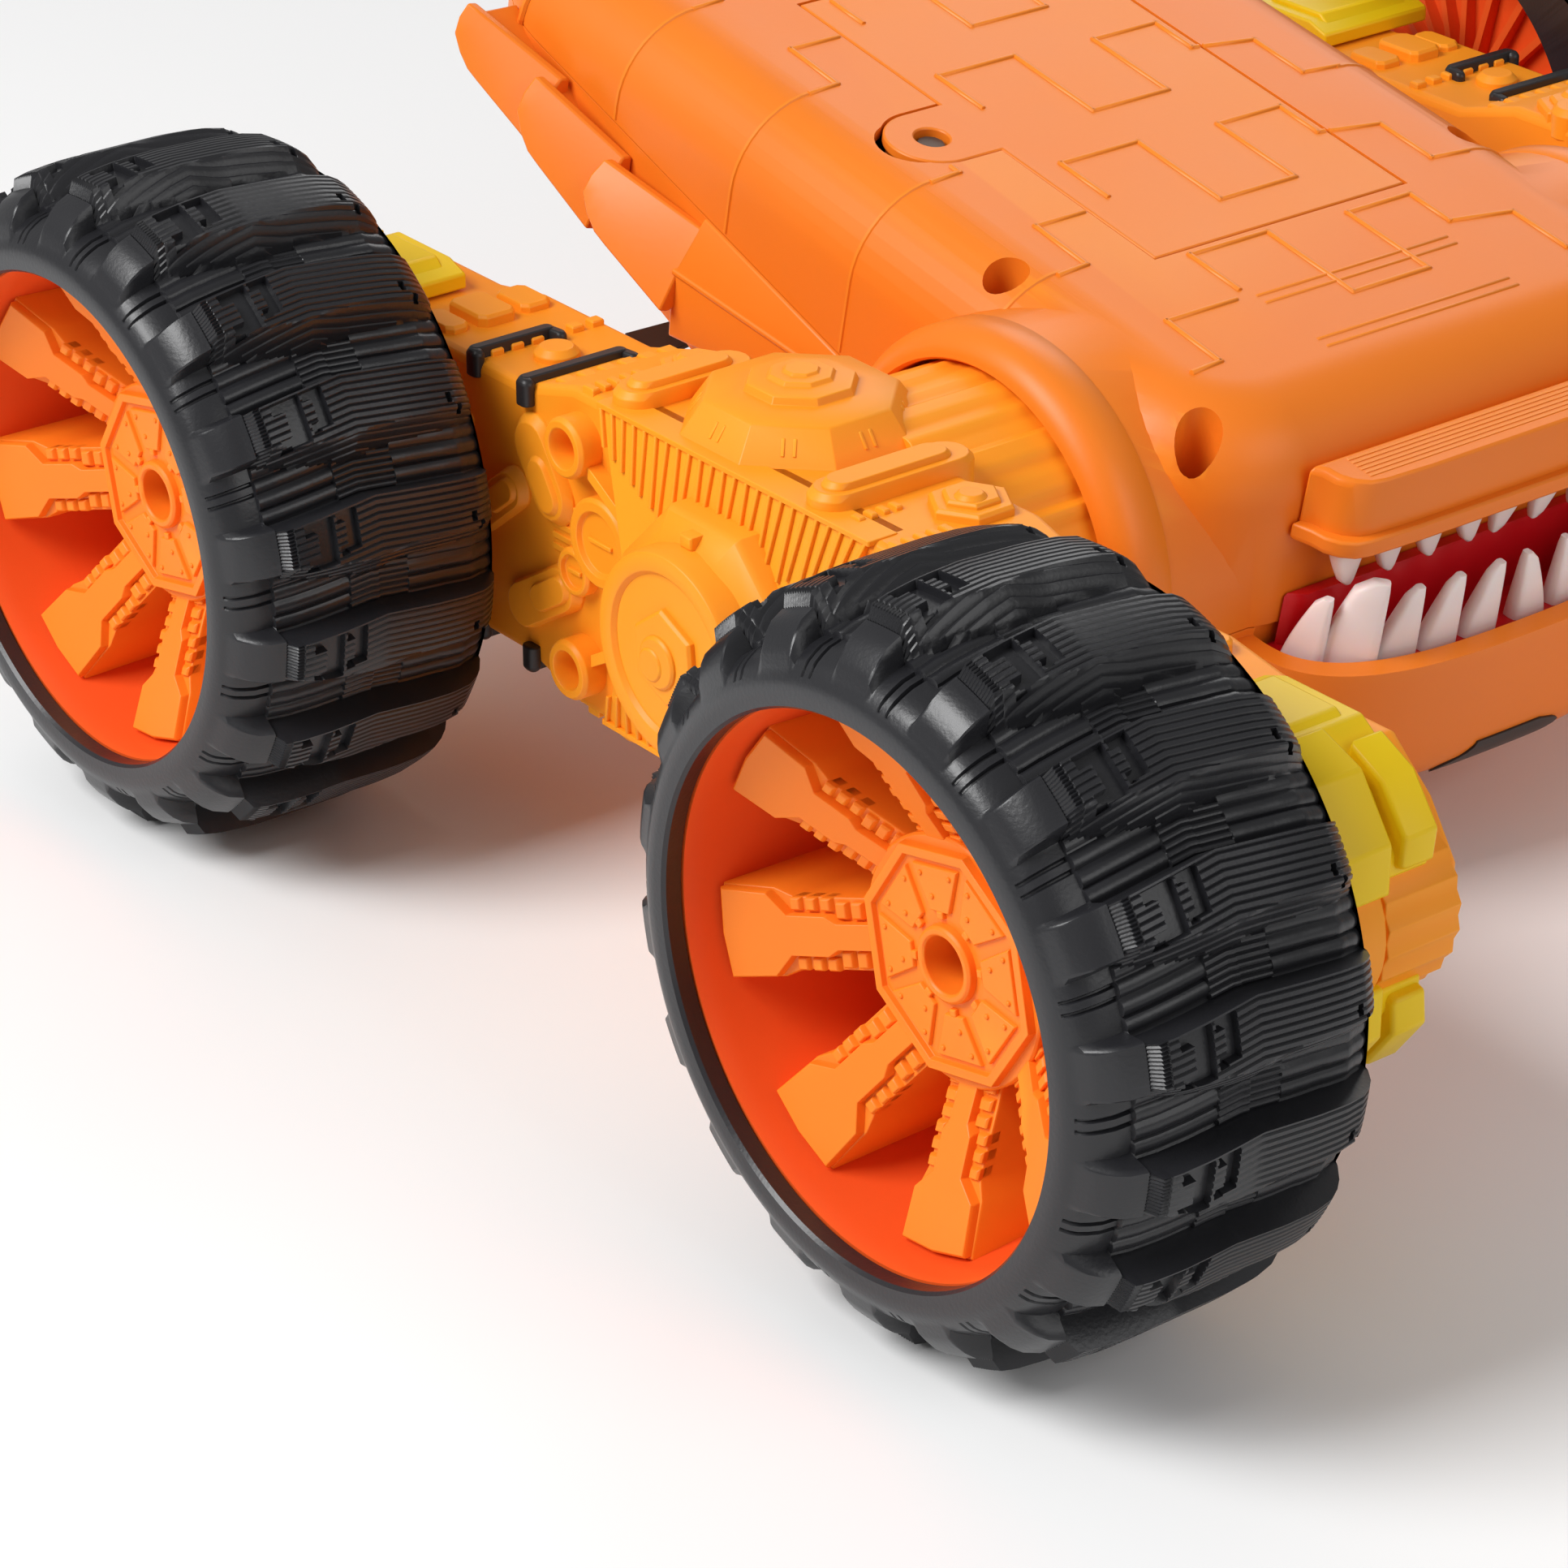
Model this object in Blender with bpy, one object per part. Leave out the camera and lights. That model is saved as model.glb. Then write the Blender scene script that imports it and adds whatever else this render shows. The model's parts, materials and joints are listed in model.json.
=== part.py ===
"""Stunt car with two swinging side arms, each carrying a pair of big wheels.

World frame: metres, +Z up, origin on the ground under the middle of the car.
The jaws point to -Y and the arms turn about a line along X. The car rests with
its battery door facing up and its body tipped nose down between level arms.
"""
import math

import bmesh
import bpy
from mathutils import Matrix, Vector

# ---------------------------------------------------------------- driving sizes
GAP = 0.0003                      # clearance between neighbouring pieces
AXLE_HEIGHT = 0.0617              # also the height of the arm pivots
HALF_WIDTH = 0.193                # mid-plane to the outer lip of a tyre
HALF_BASE = 0.110                 # pivot to a wheel axle, along Y
BODY_PITCH = math.radians(11.2)   # nose-down tip of the body
SIDES = {"right": -1, "left": 1}
ENDS = {"front": -1, "rear": 1}

# body, in its own tipped frame: belly at +Z, jaws at -Y, pivot line at y = z = 0
BODY_HALF_WIDTH = 0.066
BODY_FRONT, BODY_REAR = -0.0415, 0.1770
BELLY, BACK = 0.0407, -0.034
BELLY_ROUND, BACK_ROUND = 0.0165, 0.020
CORNER_ROUND = 0.026
SHELL = 0.0024
PARTING_SLOPE = math.radians(9.3)

PIVOT_TUBE_R, PIVOT_BORE_R = 0.012, 0.009
NECK_R, NECK_END = 0.0345, 0.0690
COLLAR_IN, COLLAR_OUT = 0.0668, 0.0765
COLLAR_R = 0.0395
FAIRING_R = 0.0404

DOOR_HALF_WIDTH, DOOR_FRONT, DOOR_REAR = 0.0305, 0.0138, 0.1167
DOOR_THICK = 0.0020
TAB_X, TAB_Y, TAB_R = -0.0397, 0.0655, 0.0090
SWITCH_Y, SWITCH_TRAVEL = 0.142, 0.004
SHELL_SCREWS = {"front": -0.0288, "middle": 0.0235}
SHELL_SCREW_X = 0.0565
WELL_R, WELL_FLOOR = 0.0040, 0.0200
POST_SKIN = 0.0004                # a post stops this far inside the outer surface

JAW_HALF_WIDTH, JAW_FRONT = 0.042, -0.0512
JAW_TOP, JAW_LIP_TOP, JAW_BOTTOM = 0.0325, 0.0216, 0.0180
SNOUT_HALF_WIDTH, SNOUT_FRONT, SNOUT_RIM = 0.050, -0.0638, -0.0016
SNOUT_WALL = 0.0040
SNOUT_ROOT = BODY_FRONT + 0.0012

# mane: shingle plates along each side as stations of y, then the (outward, height) of the
# top edge and of the lower edge, front end first
MANE_PLATES = (
    ((0.0935, (0.0672, 0.0134), (0.0752, -0.0020)), (0.1190, (0.0716, 0.0164), (0.0782, 0.0078))),
    ((0.1175, (0.0682, 0.0166), (0.0754, 0.0030)), (0.1395, (0.0738, 0.0242), (0.0792, 0.0146))),
    ((0.1380, (0.0686, 0.0230), (0.0762, 0.0120)), (0.1590, (0.0764, 0.0308), (0.0802, 0.0222))),
)
MANE_THICK, MANE_ROOT = 0.0020, 0.0646
MANE_LEDGE = ((0.0450, 0.0664, 0.0056, 0.0006), (0.0570, 0.0672, 0.0034, -0.0040),
              (0.0945, 0.0724, 0.0054, -0.0086))   # y, outward, height of the edge, lower edge
# flank: under the mane the side slopes in at 45 degrees from this height; y, height
FLANK = ((0.0580, -0.0360), (0.0900, -0.0140), (0.1900, 0.0140))
FLANK_REACH = 0.048

# arm, measured across X from the mid-plane and up from the axle height
ARM_IN, ARM_OUT, ARM_SPLIT = 0.100, 0.136, 0.1185
ARM_HALF_HEIGHT, PAW_HALF_HEIGHT, ARM_REACH = 0.027, 0.0238, 0.1432
ARM_WALL = 0.0024
CLAW_IN, CLAW_OUT = 0.1025, 0.1385
STRIPE_Y = (0.0590, 0.0665)
STRIPE_WIDTH = 0.0034

# drive: one motor for each wheel, with a pinion on the wheel's gear
GEAR_MODULE = 0.0016
GEAR_TEETH, PINION_TEETH = 24, 6
GEAR_IN, GEAR_OUT = 0.1280, 0.1330
MOTOR_R, MOTOR_IN, MOTOR_OUT = 0.0098, 0.1026, 0.1262
SHAFT_R = 0.0030
SHAFT_TIP = 0.1625

# tyre and rim, measured inwards from the outer lip
TYRE_WIDTH = 0.053
LUGS, LUG_HALF_ANGLE = 18, math.radians(5.5)
LIP_R = 0.045
RIM_FRONT, RIM_BACK, RIM_R = 0.0040, 0.0500, 0.0459
BEAD_FRONT, BEAD_BACK, TYRE_CAVITY_R = 0.0095, 0.0445, 0.0530
SPOKES, SPOKE_PHASE = 8, math.radians(-12.5)
SPOKE_ENDS = ((0.0150, 0.0045, 0.0215), (0.0436, 0.0074, 0.0105))  # reach, half width, depth
SPOKE_BACK = 0.0372


def srgb(red, green, blue):
    """Linear colour of an 8-bit display colour."""
    def linear(value):
        value /= 255
        return value / 12.92 if value <= 0.04045 else ((value + 0.055) / 1.055) ** 2.4
    return linear(red), linear(green), linear(blue), 1.0


FINISHES = {                      # colour, roughness, metallic
    "body_orange": (srgb(230, 130, 45), 0.38, 0.0),
    "arm_orange": (srgb(250, 165, 65), 0.40, 0.0),
    "rim_orange": (srgb(238, 125, 45), 0.40, 0.0),
    "claw_yellow": (srgb(222, 192, 40), 0.40, 0.0),
    "tyre_black": (srgb(44, 44, 46), 0.45, 0.0),
    "stripe_black": (srgb(45, 42, 42), 0.40, 0.0),
    "tooth_white": (srgb(232, 220, 218), 0.35, 0.0),
    "gum_red": (srgb(190, 20, 30), 0.35, 0.0),
    "board_green": (srgb(30, 95, 55), 0.50, 0.0),
    "cell_blue": (srgb(40, 70, 130), 0.40, 0.0),
    "gear_white": (srgb(225, 225, 215), 0.45, 0.0),
    "steel": (srgb(180, 180, 182), 0.30, 1.0),
}


# ---------------------------------------------------------------- scene set-up
def clear_scene():
    for thing in list(bpy.data.objects):
        bpy.data.objects.remove(thing, do_unlink=True)


def new_collection(name):
    collection = bpy.data.collections.new(name)
    bpy.context.scene.collection.children.link(collection)
    return collection


clear_scene()
PARTS = new_collection("stunt_car")
CUTTERS = new_collection("cutters")
CUTTERS.hide_render = True

BODY_FRAME = Matrix.Translation((0, 0, AXLE_HEIGHT)) @ Matrix.Rotation(BODY_PITCH, 4, "X")
PIVOT = Vector((0, 0, AXLE_HEIGHT))


def across(side, y, z):
    """Frame whose +Z runs outwards along X on one side, with x along Y and y up."""
    return Matrix(((0, 0, side, 0), (1, 0, 0, y), (0, 1, 0, z), (0, 0, 0, 1)))


def finish_material(name, finish):
    colour, roughness, metallic = FINISHES[finish]
    material = bpy.data.materials.new(name)
    material.use_nodes = True
    shader = material.node_tree.nodes["Principled BSDF"]
    shader.inputs["Base Color"].default_value = colour
    shader.inputs["Roughness"].default_value = roughness
    shader.inputs["Metallic"].default_value = metallic
    material.diffuse_color = colour
    return material


def solid(name, verts, faces, finish=None, frame=None, origin=None):
    """Object from vertices and faces, with outward normals; no finish makes a cutter."""
    mesh = bpy.data.meshes.new(name)
    mesh.from_pydata(verts, [], faces)
    if frame is not None:
        mesh.transform(frame)
    bm = bmesh.new()
    bm.from_mesh(mesh)
    bmesh.ops.recalc_face_normals(bm, faces=bm.faces)
    bm.to_mesh(mesh)
    bm.free()
    thing = bpy.data.objects.new(name, mesh)
    if finish is None:
        thing.hide_render = True
        thing.display_type = "WIRE"
        CUTTERS.objects.link(thing)
    else:
        mesh.materials.append(finish_material(name, finish))
        PARTS.objects.link(thing)
    if origin is not None:
        mesh.transform(Matrix.Translation(-Vector(origin)))
        thing.location = origin
    return thing


def combine(target, tools, operation):
    for tool in tools:
        step = target.modifiers.new(tool.name, "BOOLEAN")
        step.operation = operation
        step.solver = "EXACT"
        step.object = tool
    return target


def cut(target, *tools):
    return combine(target, tools, "DIFFERENCE")


def join(target, *tools):
    return combine(target, tools, "UNION")


# ---------------------------------------------------------------- shape makers
def loft(name, rings, **where):
    """Solid through rings of equal length, closed by a flat cap at each end."""
    count = len(rings[0])
    verts = [point for ring in rings for point in ring]
    faces = [tuple(range(count)), tuple(range(len(verts) - count, len(verts)))]
    for level in range(len(rings) - 1):
        for i in range(count):
            j = (i + 1) % count
            base = level * count
            faces.append((base + i, base + j, base + count + j, base + count + i))
    return solid(name, verts, faces, **where)


def circle(radius, height, steps, centre=(0, 0), phase=0.0):
    turn = 2 * math.pi / steps
    return [(centre[0] + radius * math.cos(phase + i * turn),
             centre[1] + radius * math.sin(phase + i * turn), height) for i in range(steps)]


def spindle(name, profile, steps, centre=(0, 0), phase=0.0, **where):
    """Solid of revolution about +Z from (height, radius) stations."""
    return loft(name, [circle(r, h, steps, centre, phase) for h, r in profile], **where)


def turned_ring(name, profile, steps, **where):
    """Ring of revolution about +Z from a closed loop of (height, radius) points."""
    count = len(profile)
    verts, faces = [], []
    for i in range(steps):
        angle = 2 * math.pi * i / steps
        verts += [(r * math.cos(angle), r * math.sin(angle), h) for h, r in profile]
    for i in range(steps):
        near, far = i * count, (i + 1) % steps * count
        for k in range(count):
            n = (k + 1) % count
            faces.append((near + k, near + n, far + n, far + k))
    return solid(name, verts, faces, **where)


def prism(name, outline, low, high, **where):
    """Flat outline of (x, y) points pulled up from one height to another."""
    return loft(name, [[(x, y, low) for x, y in outline], [(x, y, high) for x, y in outline]],
                **where)


def block(name, low, high, **where):
    outline = [(low[0], low[1]), (high[0], low[1]), (high[0], high[1]), (low[0], high[1])]
    return prism(name, outline, low[2], high[2], **where)


def blocks(name, corners, **where):
    """Several separate boxes in one cutter or adder object."""
    verts, faces = [], []
    for low, high in corners:
        base = len(verts)
        verts += [(x, y, z) for x in (low[0], high[0]) for y in (low[1], high[1])
                  for z in (low[2], high[2])]
        faces += [tuple(base + i for i in face) for face in
                  ((0, 1, 3, 2), (4, 6, 7, 5), (0, 4, 5, 1), (2, 3, 7, 6), (0, 2, 6, 4),
                   (1, 5, 7, 3))]
    return solid(name, verts, faces, **where)


# ---------------------------------------------------------------- body shells
def plan_outline(inset):
    """Rounded rectangle of the body seen from above, drawn in by an inset."""
    radius = max(CORNER_ROUND - inset, 0.004)
    half = BODY_HALF_WIDTH - inset - radius
    front, rear = BODY_FRONT + inset + radius, BODY_REAR - inset - radius
    points = []
    for x, y, start in ((half, rear, 0), (-half, rear, 90), (-half, front, 180),
                        (half, front, 270)):
        for i in range(5):
            angle = math.radians(start + 22.5 * i)
            points.append((x + radius * math.cos(angle), y + radius * math.sin(angle)))
    return points


def body_stack(name, inset, **where):
    """The whole rounded body drawn in by an inset, as a stack of level outlines."""
    top, bottom = BELLY - inset, BACK + inset
    levels = []
    for i in range(5):
        angle = math.radians(22.5 * i)
        levels.append((bottom + BACK_ROUND * (1 - math.sin(angle)),
                       BACK_ROUND * (1 - math.cos(angle))))
    levels.reverse()
    for i in range(5):
        angle = math.radians(22.5 * i)
        levels.append((top - BELLY_ROUND * (1 - math.sin(angle)),
                       BELLY_ROUND * (1 - math.cos(angle))))
    rings = [[(x, y, z) for x, y in plan_outline(inset + draw)] for z, draw in levels]
    return loft(name, rings, **where)


def parting_block(name, below):
    """Everything on one side of the parting line, level in front and sloping up behind."""
    reach = 0.4
    far, gap = (-reach, GAP / 2) if below else (reach, -GAP / 2)
    outline = [(-reach, far), (reach, far), (reach, reach * math.tan(PARTING_SLOPE) + gap),
               (0, gap), (-reach, gap)]
    return prism(name, outline, -reach, reach, frame=BODY_FRAME @ across(1, 0, 0))


def body_axis(side):
    """Frame like across(), for the body's pivot line."""
    return across(side, 0, AXLE_HEIGHT)


def add_side_sockets(shell):
    """Bulge round each pivot, hollow inside, with a bore for the pivot tube."""
    for name, side in SIDES.items():
        tag = f"{shell.name}_{name}"
        frame = body_axis(side)
        join(shell, spindle(f"{tag}_bulge", [(0.044, FAIRING_R), (0.0664, FAIRING_R)], 36,
                            frame=frame))
        cut(shell, spindle(f"{tag}_hollow", [(0.0464, 0.0382), (0.0640, 0.0382)], 36, frame=frame),
            spindle(f"{tag}_mouth", [(0.030, 0.0300), (0.050, 0.0300)], 36, frame=frame),
            spindle(f"{tag}_bore", [(0.060, PIVOT_TUBE_R + GAP), (0.080, PIVOT_TUBE_R + GAP)], 24,
                    frame=frame))


def screw_columns(low, high, radius):
    return [((side * SHELL_SCREW_X, y), low, high, radius)
            for side in SIDES.values() for y in SHELL_SCREWS.values()]


def columns(name, specs, steps=12):
    """Separate upright cylinders in the body frame, as one adder or cutter."""
    verts, faces = [], []
    for centre, low, high, radius in specs:
        base = len(verts)
        verts += circle(radius, low, steps, centre) + circle(radius, high, steps, centre)
        faces += [tuple(base + i for i in range(steps)),
                  tuple(base + steps + i for i in range(steps))]
        faces += [(base + i, base + (i + 1) % steps, base + steps + (i + 1) % steps,
                   base + steps + i) for i in range(steps)]
    return solid(name, verts, faces, frame=BODY_FRAME)


def screw_posts(name, low, high, radius):
    """Posts round the shell screws, trimmed so that none stands out of the body."""
    trim = body_stack(f"{name}_trim", POST_SKIN, frame=BODY_FRAME)
    return combine(columns(name, screw_columns(low, high, radius)), [trim], "INTERSECT")


def make_belly_shell():
    shell = body_stack("belly_shell", 0, finish="body_orange", frame=BODY_FRAME)
    cut(shell, body_stack("belly_hollow", SHELL, frame=BODY_FRAME))
    add_side_sockets(shell)
    join(shell, screw_posts("belly_posts", -0.004, 0.0395, 0.0056))
    cut(shell, parting_block("belly_parting", below=True),
        columns("belly_wells", screw_columns(WELL_FLOOR, 0.060, WELL_R), 16),
        columns("belly_screw_holes", screw_columns(-0.020, 0.030, 0.0017), 8))
    cut(shell,
        prism("door_opening", door_outline(GAP), 0.030, 0.060, frame=BODY_FRAME),
        spindle("finger_recess", [(0.032, 0.0075), (0.062, 0.0075)], 16,
                centre=(TAB_X - 0.0040, TAB_Y), frame=BODY_FRAME),
        block("switch_slot", (-0.0048, SWITCH_Y - 0.0030, 0.030),
              (0.0048, SWITCH_Y + 0.0030, 0.060), frame=BODY_FRAME))
    return shell


def snout_point(degrees, inset):
    """Point on the squared-off half ellipse of the snout, seen from above."""
    squareness = 0.72
    deep = SNOUT_ROOT - SNOUT_FRONT - inset
    c, s = math.cos(math.radians(degrees)), math.sin(math.radians(degrees))
    return ((SNOUT_HALF_WIDTH - inset) * math.copysign(abs(c) ** squareness, c),
            SNOUT_ROOT + deep * math.copysign(abs(s) ** squareness, s))


def snout_outline(inset):
    wide, back = SNOUT_HALF_WIDTH - inset, SNOUT_ROOT + 0.004 - inset
    return [(wide, back), (-wide, back)] + [snout_point(180 + 15 * i, inset) for i in range(13)]


def snout_stack(name, inset, top, **where):
    bottom, rounding = BACK + 0.002 + inset, 0.011
    levels = [(top, 0)]
    for i in range(4):
        angle = math.radians(28 * i)
        levels.append((bottom + rounding * (1 - math.sin(angle)),
                       rounding * (1 - math.cos(angle))))
    rings = [[(x, y, z) for x, y in snout_outline(inset + draw)] for z, draw in levels]
    return loft(name, rings, **where)


def mane_plate(name, side, ends):
    """One shingle of the mane: it starts at the body and leans away towards its rear."""
    def section(y, top, low):
        root = (top[1] + low[1]) / 2
        points = [top, low, (low[0] - MANE_THICK, low[1] - 0.0006), (MANE_ROOT, root - 0.0050),
                  (MANE_ROOT, root), (top[0] - MANE_THICK, root + 0.0004),
                  (top[0] - MANE_THICK, top[1] - 0.0004)]
        return [(side * x, y, z) for x, z in points]
    return loft(name, [section(*end) for end in ends], frame=BODY_FRAME)


def mane_ledge(name, side):
    """Sloping shelf in front of the plates that fades into the body."""
    rings = []
    for y, outward, edge, low in MANE_LEDGE:
        top = y * math.tan(PARTING_SLOPE) - GAP
        rings.append([(side * x, y, z) for x, z in (
            (MANE_ROOT, top), (BODY_HALF_WIDTH + GAP, top), (outward, edge),
            (outward - 0.0008, low), (MANE_ROOT, low - 0.0030))])
    return loft(name, rings, frame=BODY_FRAME)


def flanks(name, inset):
    """Wedges that take the lower corners off the body, one on each side."""
    wedges = []
    for side_name, side in SIDES.items():
        rings = []
        for y, height in FLANK:
            top = height + inset * math.sqrt(2)
            rings.append([(side * x, y, z) for x, z in (
                (BODY_HALF_WIDTH + 0.010, top + 0.010),
                (BODY_HALF_WIDTH - FLANK_REACH, top - FLANK_REACH),
                (BODY_HALF_WIDTH + 0.010, top - FLANK_REACH))])
        wedges.append(loft(f"{name}_{side_name}", rings, frame=BODY_FRAME))
    return wedges


def make_back_shell():
    shell = body_stack("back_shell", 0, finish="body_orange", frame=BODY_FRAME)
    cut(shell, *flanks("back_flank", 0))
    join(shell, snout_stack("snout", 0, SNOUT_RIM, frame=BODY_FRAME))
    hollow = cut(body_stack("back_hollow", SHELL, frame=BODY_FRAME),
                 *flanks("hollow_flank", SHELL))
    cut(shell, hollow,
        prism("snout_hollow", snout_outline(SNOUT_WALL), -0.0262, 0.010,
              frame=BODY_FRAME))
    add_side_sockets(shell)
    join(shell, screw_posts("back_posts", BACK + 0.001, 0.010, 0.0048))
    cut(shell, columns("back_screw_holes", screw_columns(-0.014, 0.030, 0.0012), 8),
        parting_block("back_parting", below=False))
    for name, side in SIDES.items():
        join(shell, mane_ledge(f"{name}_mane_ledge", side))
        for number, ends in enumerate(MANE_PLATES, 1):
            join(shell, mane_plate(f"{name}_mane_plate_{number}", side, ends))
    return shell


def make_collars():
    for name, side in SIDES.items():
        profile = [(COLLAR_IN, PIVOT_TUBE_R + 0.001), (COLLAR_IN, COLLAR_R),
                   (COLLAR_OUT - 0.001, COLLAR_R), (COLLAR_OUT, COLLAR_R - 0.001),
                   (COLLAR_OUT, NECK_R + 0.0005), (0.0685, NECK_R + 0.0005),
                   (0.0685, PIVOT_TUBE_R + 0.001)]
        turned_ring(f"{name}_collar", profile, 32, finish="body_orange", frame=body_axis(side))


def make_shell_screws():
    for name, side in SIDES.items():
        for place, y in SHELL_SCREWS.items():
            spindle(f"{name}_{place}_shell_screw",
                    [(-0.010, 0.0009), (0.0203, 0.0009), (0.0203, 0.0030), (0.0222, 0.0026)], 10,
                    centre=(side * SHELL_SCREW_X, y), finish="steel", frame=BODY_FRAME)


# ---------------------------------------------------------------- jaws and teeth
def jaw_outline(grow):
    root = BODY_FRONT - GAP
    wide, front, chamfer = JAW_HALF_WIDTH + grow, JAW_FRONT - grow, 0.0075
    return [(-wide, root), (-wide + 0.0015, front + chamfer), (-wide + chamfer, front + 0.0010),
            (-wide + 0.020, front - 0.0004), (wide - 0.020, front - 0.0004),
            (wide - chamfer, front + 0.0010), (wide - 0.0015, front + chamfer), (wide, root)]


def make_lower_jaw():
    jaw = prism("lower_jaw", jaw_outline(0), JAW_LIP_TOP - 0.001, JAW_TOP, finish="body_orange",
                frame=BODY_FRAME)
    return join(jaw, prism("jaw_lip", jaw_outline(0.0016), JAW_BOTTOM, JAW_LIP_TOP,
                           frame=BODY_FRAME))


def tooth(x, y, root, tip, width, depth):
    """Four-sided pointed tooth as two rings, from the root to a small flat tip."""
    def ring(z, scale):
        return [(x + sx * width / 2 * scale, y + sy * depth / 2 * scale, z)
                for sx, sy in ((-1, -1), (1, -1), (1, 1), (-1, 1))]
    return ring(root, 1.0), ring(tip, 0.28)


def tooth_row(name, base, teeth, frame=BODY_FRAME):
    """A bar with teeth standing on it, as one moulding."""
    row = prism(name, base["outline"], base["low"], base["high"], finish="tooth_white",
                frame=frame)
    verts, faces = [], []
    for spec in teeth:
        start = len(verts)
        for ring in tooth(*spec):
            verts += ring
        faces += [(start, start + 1, start + 2, start + 3),
                  (start + 4, start + 5, start + 6, start + 7)]
        faces += [(start + i, start + (i + 1) % 4, start + 4 + (i + 1) % 4, start + 4 + i)
                  for i in range(4)]
    return join(row, solid(f"{name}_points", verts, faces, frame=frame))


def make_teeth():
    low = JAW_BOTTOM - GAP
    bar = [(-0.038, -0.0432), (-0.034, -0.0490), (0.034, -0.0490), (0.038, -0.0432)]
    small = [(x, -0.0473, low - 0.0004, low - 0.0100, 0.0068, 0.0030)
             for x in (0.0052 + 0.0100 * i for i in range(4))]
    small += [(-x, *rest) for x, *rest in small]
    tooth_row("lower_teeth", {"outline": bar, "low": low - 0.0012, "high": low}, small)

    gum_top = -0.0052
    angles = [195 + 15 * i for i in range(11)]
    arch = [snout_point(a, SNOUT_WALL + 2 * GAP) for a in angles]
    arch += [snout_point(a, SNOUT_WALL + 0.0064) for a in reversed(angles)]
    base, root = gum_top + GAP, gum_top + 0.0010
    big = []
    for side in (-1, 1):
        for turn, tip, width, depth in ((3, 0.0080, 0.0078, 0.0036), (14, 0.0080, 0.0078, 0.0036),
                                        (29, 0.0080, 0.0078, 0.0036), (49, 0.0130, 0.0062, 0.0038),
                                        (70, 0.0060, 0.0036, 0.0042)):
            x, y = snout_point(270 + side * turn, SNOUT_WALL + 0.0042)
            big.append((x, y, root, tip, width, depth))
    tooth_row("upper_teeth", {"outline": arch, "low": base, "high": base + 0.0014}, big)

    gum = [(x, y) for x, y in snout_outline(SNOUT_WALL + GAP)]
    prism("upper_gum", [(x, min(y, BODY_FRONT - GAP)) for x, y in gum], -0.0140, gum_top,
          finish="gum_red", frame=BODY_FRAME)


# ---------------------------------------------------------------- door and electrics
def door_outline(grow):
    """Door rectangle with the round screw tab on its right-hand edge."""
    wide, front, rear = DOOR_HALF_WIDTH + grow, DOOR_FRONT - grow, DOOR_REAR + grow
    radius = TAB_R + grow
    tab = []
    for i in range(9):
        angle = math.radians(90 + 22.5 * i)
        tab.append((TAB_X + radius * math.cos(angle), TAB_Y + radius * math.sin(angle)))
    return ([(wide, front), (wide, rear), (-wide, rear), (-wide, TAB_Y + radius)] + tab
            + [(-wide, TAB_Y - radius), (-wide, front)])


def make_battery_door():
    hinge = BODY_FRAME @ Vector((DOOR_HALF_WIDTH, (DOOR_FRONT + DOOR_REAR) / 2, BELLY))
    door = prism("battery_door", door_outline(0), BELLY - DOOR_THICK, BELLY,
                 finish="body_orange", frame=BODY_FRAME, origin=hinge)
    tongues = [((DOOR_HALF_WIDTH - 0.004, y - 0.005, 0.0362),
                (DOOR_HALF_WIDTH + 0.0026, y + 0.005, 0.0379)) for y in (0.035, 0.095)]
    roots = [((DOOR_HALF_WIDTH - 0.0034, y - 0.004, 0.0370),
              (DOOR_HALF_WIDTH - 0.0010, y + 0.004, BELLY - 0.001)) for y in (0.035, 0.095)]
    join(door, spindle("door_tab", [(0.0357, TAB_R - 0.001), (BELLY - 0.001, TAB_R - 0.001)], 20,
                       centre=(TAB_X, TAB_Y), frame=BODY_FRAME),
         blocks("door_tongue_roots", roots, frame=BODY_FRAME),
         blocks("door_tongues", tongues, frame=BODY_FRAME))
    cut(door, spindle("door_screw_well", [(0.0374, 0.00335), (0.050, 0.00335)], 16,
                      centre=(TAB_X, TAB_Y), frame=BODY_FRAME),
        spindle("door_screw_hole", [(0.030, 0.0017), (0.045, 0.0017)], 8, centre=(TAB_X, TAB_Y),
                frame=BODY_FRAME))
    spindle("door_screw", [(0.0240, 0.0012), (0.0377, 0.0012), (0.0377, 0.0030),
                           (0.0394, 0.0026)], 10, centre=(TAB_X, TAB_Y), finish="steel",
            frame=BODY_FRAME, origin=hinge)


def make_battery_bay():
    box = block("battery_box", (-0.0365, 0.0095, 0.0120), (0.0365, 0.1210, 0.0380),
                finish="stripe_black", frame=BODY_FRAME)
    join(box, spindle("box_boss", [(0.0120, 0.0042), (0.0354, 0.0042)], 16,
                      centre=(TAB_X, TAB_Y), frame=BODY_FRAME))
    cut(box, block("box_hollow", (-0.0347, 0.0113, 0.0138), (0.0347, 0.1192, 0.050),
                   frame=BODY_FRAME),
        spindle("box_tab_notch", [(0.0354, TAB_R + 0.0006), (0.050, TAB_R + 0.0006)], 24,
                centre=(TAB_X, TAB_Y), frame=BODY_FRAME),
        spindle("box_boss_hole", [(0.0200, 0.0015), (0.045, 0.0015)], 8, centre=(TAB_X, TAB_Y),
                frame=BODY_FRAME))
    cell_r, cells, start = 0.0071, 6, 0.0297
    pitch = 2 * cell_r * math.cos(math.radians(15))
    outline = []
    for index in range(cells):
        for angle in (150, 120, 90, 60, 30):
            turn = math.radians(angle)
            outline.append((start + index * pitch + cell_r * math.cos(turn),
                            cell_r * math.sin(turn)))
    outline += [(y, -z) for y, z in reversed(outline)]
    along_x = Matrix(((0, 0, 1, 0), (1, 0, 0, 0), (0, 1, 0, 0.0215), (0, 0, 0, 1)))
    prism("battery_pack", outline, -0.0255, 0.0255, finish="cell_blue",
          frame=BODY_FRAME @ along_x)


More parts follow.
